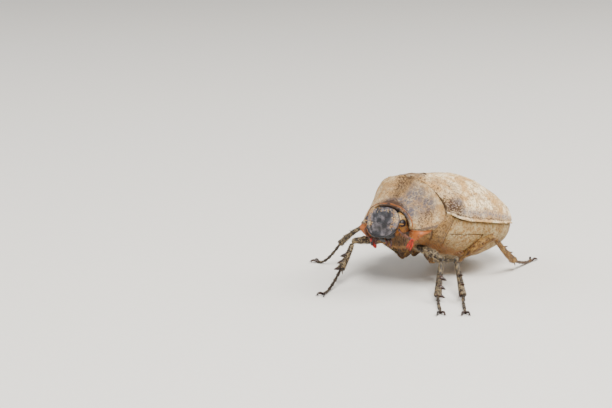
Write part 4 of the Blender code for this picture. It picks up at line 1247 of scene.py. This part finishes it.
def face(share, turn):
    """The head capsule at the share from crown to mouth and the angle turn round it, 90 degrees in front.

    The rings of a domed disc. Pressed into it are the arched suture between forehead and clypeus, two dents
    on the forehead and the clypeus's dish, whose border is turned up.
    """
    half, height = face_half(share), face_height(share)
    cosine, sine = np.cos(turn), np.sin(turn)
    rounding = np.sin(np.pi * share) ** 0.3
    x = half * signed_power(cosine, 0.9)
    depth = np.where(sine >= 0, 1.1 * head_front(height), head_back(height))
    depth = depth * rounding * signed_power(sine, 0.82)
    arch = height - 0.61 - 0.06 * (x / FACE_HALF) ** 2
    relief = 0.04 * MM * bell(arch + 0.03, 0.018) - 0.09 * MM * bell(arch, 0.014)
    relief -= 0.2 * MM * bell(height - 0.8, 0.1) * bell(x, 1.8 * MM)
    for side in (-1, 1):
        relief -= 0.16 * MM * bell(height - 0.36, 0.09) * bell(x - side * 1.4 * MM, 0.7 * MM)
    relief += 0.22 * MM * bell(np.abs(x) - half, 0.3 * MM) * rise(height, 0.5, 0.75)
    relief *= rise(sine, 0.15, 0.5)
    places = FACE_TOP + FACE_DOWN * height[..., None] + LEFT * (x + cosine * relief)[..., None]
    places = in_head(places + (depth + sine * relief)[..., None] * FACE_OUT)
    return places + 0.02 * MM * ripple(places, 1.1 * MM, 14)[..., None] * (HEAD_TURN @ FACE_OUT)


def temple(side, t, s):
    """The cheek that carries an eye: an ellipsoid, with t from its foot to its top and s round it."""
    return in_head(TEMPLE * (side, 1, 1) + on_ball(np.pi * (t - 0.5), 2 * np.pi * s) * TEMPLE_HALF)


def low_on_temple(t, s):
    """Where a temple is hairy: on its lower half."""
    return rise(0.55 - t, 0, 0.25)


def lip(t, s):
    """The lip below the clypeus: a strip that bows down, at the share t across it and s along it."""
    places = np.stack([4.2 * t - 2.1, -2.9 + 0.5 * s, -2.75 - 0.35 * np.sin(np.pi * t)], -1)
    return in_head(places * MM)


def ochre_coat(t, s):
    """How thickly scales stand on the front of the face: at its sides, on each cheek and at the crown."""
    aside, height = np.abs(np.cos(np.pi * s)), face_height(t)
    patch = bell(height - 0.6, 0.06) * bell(aside - 0.66, 0.12)
    return rise(aside, 0.6, 0.85) * bell(height - 0.34, 0.24) + patch + 0.3 * bell(height - 0.08, 0.06)


class BEETLE_OT_head(bpy.types.Operator):
    """The head: capsule with its rim, labrum, jaws, palps, scales and hairs, and the eyes"""

    bl_idname = "beetle.head"
    bl_label = "Head"
    bl_options = {"REGISTER", "UNDO"}

    def execute(self, context):
        paint = context.scene.beetle_colours
        slate = punctured_chitin("forehead_chitin_slate_powdered", paint.slate, paint.slate_pale, 0.26, 0.45)
        black = punctured_chitin("clypeus_rim_chitin_black", "#0b090a", "#231f20", 0.2, 0.3, 0.2)
        brown = horny_chitin("mouthparts_chitin_brown", "#140704", "#45190b", 0.34)
        ochre = scaly_chitin(
            "temple_chitin_with_ochre_scales", "#2a1a10", "#d2bc8a", "#b27a2c", "#8a5a1e", patch=0.9
        )
        cream = loose_scale("head_scales_ochre", "#d6c190", "#a86f1f", "#8a5a1e", patch=0.9)
        gold = hair_finish("golden_setae_of_the_mouth", "#7d430f", "#d98a2a")

        share, turn = rounds(150, 160, 0.02, 0.98)
        points, faces = capped(face(share, turn))
        height, aside = face_height(share), np.abs(np.cos(turn))
        # Paler powder at the sides of the forehead, a painted sheen across the clypeus, and darker at the
        # mouth edge.
        light = 0.6 * rise(aside, 0.4, 0.9) * bell(height - 0.35, 0.28) + 0.15 * bell(height - 0.78, 0.14)
        light = with_caps(light + 0.12 - 0.5 * rise(height, 0.93, 0.97)).ravel()
        pale = patchy(points, light, 0.16, 0.9 * MM, 93)
        put("head_capsule", points, faces, slate, "slate", ["head"], pale=pale)
        t, turn = rounds(40, 60, 0.02, 0.98)
        points, faces = joined([capped(temple(side, t, turn / (2 * np.pi))) for side in (-1, 1)])
        put("head_temples", points, faces, ochre, "slate", ["head"], bare=0.2, cool=0.0, mark=0.0)
        self.rim(black)
        self.mouth(brown, black)
        self.coat(cream, gold)
        self.eyes(faceted_cornea("eye_cornea_black"), ochre)
        return {"FINISHED"}

    def rim(self, black):
        """The clypeus's turned-up border: a bead along the lower outline of the face, from cheek to cheek."""
        sweep = np.linspace(-1, 1, 121)
        share = np.clip(1 - 0.5 * np.abs(sweep) ** 1.25, 0, 1 - 1e-6)
        lower = rise(1 - np.abs(sweep), 0, 0.45)
        path = FACE_TOP + FACE_DOWN * face_height(share)[:, None]
        path[:, 0] += np.sign(sweep) * face_half(share)
        path += (0.05 + 0.4 * lower)[:, None] * MM * FACE_OUT
        points, faces = capped(tube(in_head(path), (0.04 + 0.11 * lower) * MM, 16, 1.3, HEAD_TURN @ FACE_OUT))
        put("clypeus_rim", points, faces, black, "slate", ["head"], pale=0.2)

    def mouth(self, brown, black):
        """Labrum and chin as flattened balls, two tapered jaws that curve inwards, and four beaded palps."""
        lots = []
        for place, half, rows, columns in (
            ((0, -2.6, -2.95), (1.5, 0.55, 0.42), 20, 36),
            ((0, -2.1, -3.55), (1.3, 0.75, 0.6), 18, 32),
        ):
            lots.append(capped(in_head(np.array(place) * MM) + ball_rings(rows, columns) * half * MM))
        sweep = np.linspace(0, 1, 24)
        for side in (-1, 1):
            x, y = side * (2.1 - 1.3 * sweep**1.4), -2.3 - 0.5 * np.sin(np.pi * sweep)
            path = np.stack([x, y, -2.75 - 0.7 * sweep], 1)
            lots.append(capped(tube(in_head(path * MM), 0.6 * (1 - 0.72 * sweep**1.5) * MM, 18, 0.8)))
        points, faces = joined(lots)
        put("jaws_and_chin", points, faces, black, "slate", ["head"], pale=0.35)
        lots = []
        share = np.linspace(0, 1, 60)
        beads = 0.2 + 0.09 * np.abs(np.sin(np.pi * np.clip(4 * share, 0, 3.97))) ** 0.5
        beads = beads * rounded_end(share, 0.86, 0.14, 0.98)
        for side in (-1, 1):
            for scale, start in ((0.75, (1.5, -2.2, -3.5)), (0.5, (0.8, -2.5, -3.7))):
                stops = np.array([[0, 0, 0], [0.8, -0.3, -0.8], [0.9, -0.6, -1.5], [0.5, -0.8, -2.1]]) * scale
                path = (through([0, 0.36, 0.68, 1], stops, share) + start) * (side, 1, 1) * MM
                lots.append(capped(tube(in_head(path), beads * (0.6 + 0.4 * scale) * MM, 16, up=(1, 0, 0.1))))
        points, faces = joined(lots)
        put("palps", points, faces, brown, "slate", ["head"], pale=patchy(points, 0.6, 0.3, MM, 91))

    def coat(self, cream, gold):
        """Ochre scales at the sides of the face, and golden tufts below the eyes and round the mouth."""
        forwards = -HEAD_TURN[:, 1]
        found = rooted(lambda t, s: face(t, np.pi * s), 1500, 101, ochre_coat, (0.05, 0.85))
        roots, along, out, t, s = found
        found = (roots, along, facing(out, forwards), t, s)
        put_scales("head_scales", found, cream, "slate", *FACE_SCALE, 102, cool=0.0, bare=0.0)
        lots, maps = [], []
        for side in (-1, 1):
            found = rooted(lambda t, s: temple(side, t, s), 650, 111 + side, low_on_temple, (0.04, 0.96))
            roots, along, out, t, s = found
            out = facing(out, roots - in_head(TEMPLE * (side, 1, 1)))
            lots.append(hairs(roots, out * 0.9 + forwards * 0.3 - 0.7 * UP, *CHEEK_HAIR, 115 + side, 0.15))
            maps.append(patches(0.5 * t, s, HAIR_CORNERS))
        roots, along, out, t, s = rooted(lip, 90, 118, None, (0.03, 0.97))
        lots.append(hairs(roots, forwards * 0.3 - UP + 0 * roots, *LIP_HAIR, 119, 0.3))
        maps.append(patches(t, s, HAIR_CORNERS))
        points, faces = joined(lots)
        tint = tints(len(points) // HAIR_CORNERS, HAIR_CORNERS, 113)
        put("mouth_hairs", points, faces, gold, "slate", unwrap=np.concatenate(maps), tint=tint)

    def eyes(self, cornea, ochre):
        """Bulging compound eyes, each notched in front by a bar of the head capsule, the canthus."""
        shape = ball_rings(44, 72)
        notch = 1 - 0.25 * bell(shape[..., 2:] + 0.25, 0.16) * rise(-shape[..., 1:2], -0.2, 0.4)
        sweep = np.radians(np.linspace(-125, -20, 30))
        radii = 0.13 * np.sqrt(np.clip(1 - np.linspace(-1, 1, 30) ** 4 * 0.96, 0, 1)) * MM
        for side, word in ((1, "left"), (-1, "right")):
            centre = EYE * (side, 1, 1)
            points, faces = capped(in_head(centre + shape * notch * EYE_HALF))
            put("eye_" + word, points, faces, cornea, "eye_black", ["eye_" + word])
            bar = np.stack([side * np.cos(sweep), np.sin(sweep), -0.25 + 0 * sweep], 1)
            points, faces = capped(tube(in_head(centre + bar * EYE_HALF * 0.96), radii, 14, 0.8))
            put("canthus_" + word, points, faces, ochre, "slate", ["head"], bare=0.0, cool=0.0, mark=0.0)


class BEETLE_OT_feelers(bpy.types.Operator):
    """Both feelers: scape, beaded funicle and a club of three red leaves"""

    bl_idname = "beetle.feelers"
    bl_label = "Feelers"
    bl_options = {"REGISTER", "UNDO"}

    def execute(self, context):
        red = horny_chitin("club_chitin_red", "#4a0a04", context.scene.beetle_colours.club, 0.4, 0.04)
        amber = horny_chitin("feeler_stem_chitin_amber", "#150a06", "#5a2e14", 0.36, 0.03)
        t = np.linspace(0, 1, 130)
        beads = 0.21 + 0.07 * np.abs(np.sin(np.pi * np.clip((t - 0.45) / 0.55 * 5, 0, 5))) ** 0.6 * (t > 0.45)
        radii = (beads + 0.06 * bell(t - 0.36, 0.16) * (t < 0.5)) * MM
        share = np.linspace(0, 1, 40)
        size = profile([0, 0.3, 0.6, 0.85, 0.96, 1], [0.26, 0.38, 0.42, 0.34, 0.2, 0.05])(share) * MM
        # The clubs turn towards this direction, in which the camera stands
        viewer = np.array([0.67, -0.74, 0])
        for word, (*stops, tip) in FEELERS.items():
            slots = ["antenna_" + word]
            path = through([0, 0.33, 0.67, 1], stops, t) * MM
            points, faces = capped(tube(in_world(path), radii, 18))
            pale = patchy(points, 0.6, 0.3, MM, 121)
            put("feeler_stem_" + word, points, faces, amber, "club_red", slots, pale=pale)
            base, reach = path[-1], np.array(tip) * MM - path[-1]
            along = unit(reach)
            across = unit(np.cross(along, viewer) if word == "left" else viewer - along * (viewer @ along))
            lots = []
            for leaf in (-1, 0, 1):
                aside = 0.09 * np.linalg.norm(reach) * share + 0.17 * MM + 0.1 * MM * np.sin(np.pi * share)
                line = base - along * 0.1 * MM + reach * share[:, None] + across * leaf * aside[:, None]
                lots.append(capped(tube(in_world(line), size, 20, 0.3 if leaf else 0.24, TURN @ across)))
            points, faces = joined(lots)
            pale = patchy(points, 0.55, 0.35, 0.6 * MM, 122)
            put("feeler_club_" + word, points, faces, red, "club_red", slots, pale=pale)
        return {"FINISHED"}


def joints_of(leg):
    """Hip, knee, ankle and toe in the world."""
    hip, knee, ankle, toe = (np.array(place) * MM for place in LEGS[leg])
    ground = WAIST * (1, 1, 0)
    return in_world(hip), knee + ground, ankle + ground, toe + ground


def pair_of(leg):
    """Which pair a leg is of: front, middle or hind."""
    return leg.split("_")[0]


def shaft(middle, along, turn, radius, flat, waves, seed):
    """Rings about a leg's middle line: flattened ovals, uneven by waves of a height and length."""
    side = unit(np.cross(along, UP))
    over = np.cross(side, along)
    wide, tall = np.cos(turn) * radius, flat * np.sin(turn) * radius
    places = middle + wide[..., None] * side + tall[..., None] * over
    height, wavelength = waves
    return places + height * ripple(places, wavelength, seed)[..., None] * over


def femur_surface(leg, share, turn):
    """A femur at the share of its length and the angle turn round it: a flat spindle with two keels below."""
    hip, knee = joints_of(leg)[:2]
    along = unit(knee - hip)
    start, end = hip + along * 0.95 * MM, knee + along * 0.33 * MM
    middle = start + (end - start) * share[..., None] + np.sin(np.pi * share)[..., None] * 0.3 * MM * UP
    keels = bell(turn - 4.2, 0.12) + bell(turn - 5.2, 0.12) - bell(turn - 4.7, 0.3)
    radius = FEMUR_RADIUS[pair_of(leg)] * femur_swell(share) + 0.06 * MM * keels * rise(share, 0.45, 0.7)
    return shaft(middle, along, turn, radius, 0.78, (0.03 * MM, 1.2 * MM), 15)


def tibia_surface(leg, share, turn):
    """A tibia at the share of its length and the angle turn round it: widening to a cup, with three keels."""
    knee, ankle, toe = joints_of(leg)[1:]
    along = unit(ankle - knee)
    start = knee + along * (KNEE_SHARE * FEMUR_RADIUS[pair_of(leg)] - 0.05 * MM)
    bow = unit(np.cross(along, np.cross(toe - ankle, along))) * -0.25 * MM
    middle = start + (ankle - start) * share[..., None] + np.sin(np.pi * share)[..., None] * bow
    keels = sum(bell(np.angle(np.exp(1j * (turn - place))), 0.16) for place in (0.8, 2.3, 5.5))
    ridges = sum(bell(share - place, 0.012) for place in (0.36, 0.62)) * rise(np.sin(turn), 0, 0.6)
    radius = TIBIA_RADIUS[pair_of(leg)] * tibia_swell(share) + 0.05 * MM * keels + 0.1 * MM * ridges
    return shaft(middle, along, turn, radius, 0.85, (0.02 * MM, 0.9 * MM), 16)


def put_skin(name, points, faces, finish, slot, stands_for, bare):
    """Puts a scaly piece of a leg, rubbed in soft patches about the mean bare."""
    wear = np.clip(bare + 0.5 + 0.35 * ripple(points, 1.3 * MM, 131), 0, 1.3)
    put(name, points, faces, finish, slot, stands_for, bare=wear, cool=0.0, mark=0.0)


class BEETLE_OT_legs(bpy.types.Operator):
    """Six legs: hip cone, femur, tibia with its spines, tarsus and claws, with their scales and bristles"""

    bl_idname = "beetle.legs"
    bl_label = "Legs"
    bl_options = {"REGISTER", "UNDO"}

    def execute(self, context):
        paint, long = context.scene.beetle_colours, context.scene.beetle_coat.leg_scale_length
        dusky = scaly_chitin(
            "leg_chitin_dark_with_pale_scales", paint.leg_dark, paint.leg_pale, "#85704c", "#3d3022",
            grain=0.2, patch=0.7, roughness=0.5,
        )
        tan = scaly_chitin(
            "hind_leg_chitin_tan_with_scales", "#33200f", "#9f7d42", paint.leg_tan, "#6e4a1e",
            patch=1.2, roughness=0.55,
        )
        claw = horny_chitin("claw_chitin_dark_brown", "#150a06", "#4a2210", 0.24)
        pale = loose_scale(
            "leg_scales_pale", paint.leg_pale, "#8f7a54", "#4a3a28", dark="#17110d", darkness=0.58, patch=0.7
        )
        bristle = hair_finish("leg_bristles_straw", "#6e5230", "#cdb07a")
        straw = loose_scale(
            "leg_scales_straw", "#9f7d42", paint.leg_tan, "#6e4a1e", dark="#33200f", darkness=0.12, patch=1.2
        )
        t, turn = rounds(110, 56)
        for number, leg in enumerate(LEGS):
            skin, coat, worn = (tan, straw, -0.15) if pair_of(leg) == "hind" else (dusky, pale, 0.35)
            self.hip(leg, tan)
            points, faces = capped(femur_surface(leg, t, turn))
            put_skin(leg + "_femur", points, faces, skin, "dusky_leg", ["leg_" + leg + "_femur"], worn)
            points, faces = capped(tibia_surface(leg, t, turn))
            put_skin(leg + "_tibia", points, faces, skin, "dusky_leg", ["leg_" + leg + "_tibia"], worn + 0.1)
            self.spines(leg, claw)
            self.tarsus(leg, skin)
            self.claws(leg, claw)
            self.coat(leg, coat, bristle, long, 200 + 20 * number)
        return {"FINISHED"}

    def hip(self, leg, finish):
        """The coxa, a cone of rings that ends in the hip, and the trochanter, a barrel over the joint."""
        hip, knee = joints_of(leg)[:2]
        pair = pair_of(leg)
        root = hip + TURN @ (np.array([-0.2 * np.sign(LEGS[leg][0][0]), 0.2, 2.6]) * MM)
        share = np.linspace(0, 1, 40)
        cone = profile([0, 0.35, 0.7, 0.95, 1], [1.1, 1.12, 0.85, 0.5, 0.42])(share) * COXA_RADIUS[pair]
        cone += 0.06 * MM * bell(share - 0.62, 0.04)
        coxa = capped(tube(root + (hip - root) * share[:, None], cone, 40, up=(0, 1, 0)))
        path = hip + unit(knee - hip) * np.linspace(-0.3, 1.35, 24)[:, None] * MM
        size = 0.58 * FEMUR_RADIUS[pair] * np.sqrt(1 - np.linspace(-0.96, 0.96, 24) ** 4)
        points, faces = joined([coxa, capped(tube(path, size, 28))])
        body = "prothorax" if pair == "front" else "thorax"
        put_skin(leg + "_hip", points, faces, finish, "khaki", [body], 0.3)

    def coat(self, leg, scale, bristle, long, seed):
        """Scales all over femur and tibia, pointing along them, and a bristle beside every seventh scale."""
        for word, surface, count in (("femur", femur_surface, 900), ("tibia", tibia_surface, 550)):
            name = leg + "_" + word
            found = rooted(lambda t, s: surface(leg, t, 2 * np.pi * s), count, seed, None, (0.03, 0.97))
            roots, along, out, t, s = found
            found = (roots, along, facing(out, roots - surface(leg, t, 2 * np.pi * (s + 0.5))), t, s)
            sizes = (long, LEG_SCALE_WIDTH)
            put_scales(name + "_scales", found, scale, "dusky_leg", *sizes, seed + 1, cool=0.0, bare=0.2)
            few = [part[::7] for part in found]
            ways = few[1] * 0.8 + few[2] * 0.7
            put_hairs(name + "_bristles", few, ways, bristle, "dusky_leg", LEG_HAIR, seed + 3, 0.05)

    def spines(self, leg, claw):
        """Two spurs at a tibia's end, and the teeth or spines on its outer edge."""
        hip, knee, ankle = joints_of(leg)[:3]
        along = unit(ankle - knee)
        inner = unit(np.cross(along, np.cross(hip - knee, along)))
        side = unit(np.cross(along, inner))
        roots, tips, radii = [], [], []
        for sign in (-1, 1):
            tip = ankle + (along * 0.5 + inner * 0.35 + side * sign * 0.95) * MM
            tip[2] = max(tip[2], 0.12 * MM)
            roots.append(ankle - along * 0.35 * MM + side * sign * 0.3 * MM)
            tips.append(tip)
            radii.append(0.2 * MM)
        # Each tooth by its place along the tibia, its reach and its radius, both in mm
        teeth = ((0.5, 1.35, 0.5), (0.74, 1.35, 0.5), (0.96, 1.4, 0.46))
        spines = ((0.45, 1.0, 0.26), (0.7, 1.0, 0.26))
        for place, reach, radius in teeth if pair_of(leg) == "front" else spines:
            roots.append(knee + (ankle - knee) * place)
            tips.append(roots[-1] - inner * reach * MM + along * 0.53 * MM)
            radii.append(radius * MM)
        points, faces = thorns(np.array(roots), np.array(tips), np.array(radii), 14, 0.06)
        put(leg + "_spines", points, faces, claw, "dusky_leg", ["leg_" + leg + "_tibia"], pale=0.2)

    def tarsus_line(self, leg, share):
        """Places along a foot's middle line, which comes down to the floor and goes on along it."""
        ankle, toe = joints_of(leg)[2:]
        start = ankle + unit(toe - ankle) * 0.05 * MM
        settle = 0.45 if ankle[2] < 2 * MM else 0.85
        path = start + (toe - start) * share[:, None]
        lowest = TARSUS_RADIUS - 0.02 * MM
        path[:, 2] = lowest + (start[2] - lowest) * (1 - np.clip(share / settle, 0, 1)) ** 1.5
        return path

    def tarsus(self, leg, skin):
        """Five cup-shaped segments, each widening along its length and drawn in at its end."""
        share = np.linspace(0, 1, 150)
        ends = np.array([0, 0.19, 0.35, 0.51, 0.67, 1.001])
        i = np.clip(np.searchsorted(ends, share, "right") - 1, 0, 4)
        inside = (share - ends[i]) / (ends[i + 1] - ends[i])
        size = 0.62 + 0.5 * inside**0.8 - 0.55 * rise(inside, 0.9, 1.0)
        size *= TARSUS_RADIUS * 1.02 * rounded_end(share, 0.93, 0.075, 0.97)
        points, faces = capped(tube(self.tarsus_line(leg, share), size, 24))
        points[:, 2] = np.maximum(points[:, 2], 0.01 * MM)
        put_skin(leg + "_tarsus", points, faces, skin, "claw_brown", ["leg_" + leg + "_tarsus"], 0.75)

    def claws(self, leg, claw):
        """Two hooked claws that part from the foot's end, each with a tooth below its bend."""
        ankle, toe = joints_of(leg)[2:]
        ahead = unit((toe - ankle) * (1, 1, 0))
        side = np.array([-ahead[1], ahead[0], 0])
        end = self.tarsus_line(leg, np.ones(1))
        bend = np.linspace(0, 1, 30)[:, None]
        radii = profile([0, 0.33, 0.67, 1], [0.24, 0.25, 0.19, 0.03])(bend[:, 0]) * MM
        lots, roots, tips = [], [], []
        for sign in (-1, 1):
            line = end + ahead * CLAW_LENGTH * (bend - 0.15) + side * sign * (0.12 + 0.75 * bend**0.8) * MM
            line = line + UP * (0.35 * np.sin(np.pi * bend) - 0.1 * bend) * MM
            lots.append(capped(tube(line, radii, 14)))
            roots.append(line[20])
            tips.append(line[20] + (ahead * 0.15 - side * sign * 0.1 - UP * 0.5) * MM)
        lots.append(thorns(np.array(roots), np.array(tips), 0.15 * MM, 10))
        points, faces = joined(lots)
        points[:, 2] = np.maximum(points[:, 2], 0.01 * MM)
        put(leg + "_claws", points, faces, claw, "claw_brown", ["leg_" + leg + "_tarsus"], pale=0.15)


def way(azimuth, elevation):
    """The direction at an azimuth, counted from straight in front of the beetle, and an elevation."""
    flat = np.cos(elevation)
    return np.array([np.sin(azimuth) * flat, -np.cos(azimuth) * flat, np.sin(elevation)])


class BEETLE_OT_stage(bpy.types.Operator):
    """Pale floor, soft studio lights and the camera at the beetle's left front"""

    bl_idname = "beetle.stage"
    bl_label = "Stage"
    bl_options = {"REGISTER", "UNDO"}

    def execute(self, context):
        scene = context.scene
        corners = [(x * FLOOR_HALF, y * FLOOR_HALF, 0) for x, y in ((-1, -1), (1, -1), (1, 1), (-1, 1))]
        card = bpy.data.meshes.new("floor")
        card.from_pydata(corners, [], [(0, 1, 2, 3)])
        card.materials.append(studio_card("studio_card_pale", scene.beetle_stage.floor))
        floor = bpy.data.objects.new("floor", card)
        scene.collection.objects.link(floor)
        self.lights(scene)
        self.camera(scene, scene.beetle_stage)
        return {"FINISHED"}

    def lights(self, scene):
        """Three softboxes that point at the beetle, and the pale air of the studio."""
        for name, place, breadth, power, tint in SOFTBOXES:
            light = bpy.data.lights.new(name, "AREA")
            light.size = breadth
            light.energy = power
            light.color = tint
            lamp = bpy.data.objects.new(name, light)
            lamp.location = place
            aim = Vector((0, 0, 10 * MM)) - Vector(place)
            lamp.rotation_euler = aim.to_track_quat("-Z", "Y").to_euler()
            scene.collection.objects.link(lamp)
        world = bpy.data.worlds.new("studio_air")
        world.use_nodes = True
        air = world.node_tree.nodes["Background"]
        air.inputs["Color"].default_value = (1.0, 0.98, 0.95, 1.0)
        air.inputs["Strength"].default_value = 0.34
        scene.world = world

    def camera(self, scene, stage):
        """The camera at its distance from the waist, turned along its own axis, with its right side level."""
        lens = bpy.data.cameras.new("camera")
        lens.lens = stage.lens
        lens.sensor_width = 36.0
        lens.clip_start = 10 * MM
        back = way(stage.azimuth, stage.elevation)
        right = np.array([np.cos(stage.azimuth), np.sin(stage.azimuth), 0])
        camera = bpy.data.objects.new("camera", lens)
        camera.rotation_euler = Matrix(np.stack([right, np.cross(back, right), back], 1).tolist()).to_euler()
        camera.location = WAIST + way(stage.waist_azimuth, stage.waist_elevation) * stage.distance
        scene.collection.objects.link(camera)
        scene.camera = camera


STEPS = (
    BEETLE_OT_wing_cases, BEETLE_OT_pronotum, BEETLE_OT_breast, BEETLE_OT_head,
    BEETLE_OT_feelers, BEETLE_OT_legs, BEETLE_OT_stage,
)
GROUPS = {"beetle_coat": BeetleCoat, "beetle_colours": BeetleColours, "beetle_stage": BeetleStage}


class BEETLE_PT_steps(bpy.types.Panel):
    """The steps of the build, in order, and the settings that they use"""

    bl_label = "Scaly scarab beetle"
    bl_space_type = "VIEW_3D"
    bl_region_type = "UI"
    bl_category = "Beetle"

    def draw(self, context):
        column = self.layout.column()
        for step in STEPS:
            column.operator(step.bl_idname)
        for name, group in GROUPS.items():
            box = self.layout.box()
            for field in group.__annotations__:
                box.prop(getattr(context.scene, name), field)


def register():
    """Registers the settings, the steps and the panel, and gives each scene its settings."""
    for group in (*GROUPS.values(), *STEPS, BEETLE_PT_steps):
        bpy.utils.register_class(group)
    for name, group in GROUPS.items():
        setattr(bpy.types.Scene, name, bpy.props.PointerProperty(type=group))


def unregister():
    """Takes away what register added."""
    for name in GROUPS:
        delattr(bpy.types.Scene, name)
    for group in (BEETLE_PT_steps, *reversed(STEPS), *GROUPS.values()):
        bpy.utils.unregister_class(group)


def main():
    """Runs the steps in order."""
    register()
    for step in STEPS:
        folder, word = step.bl_idname.split(".")
        done = getattr(getattr(bpy.ops, folder), word)()
        if done != {"FINISHED"}:
            raise RuntimeError(step.bl_idname + " didn't finish")


if __name__ == "__main__":
    main()
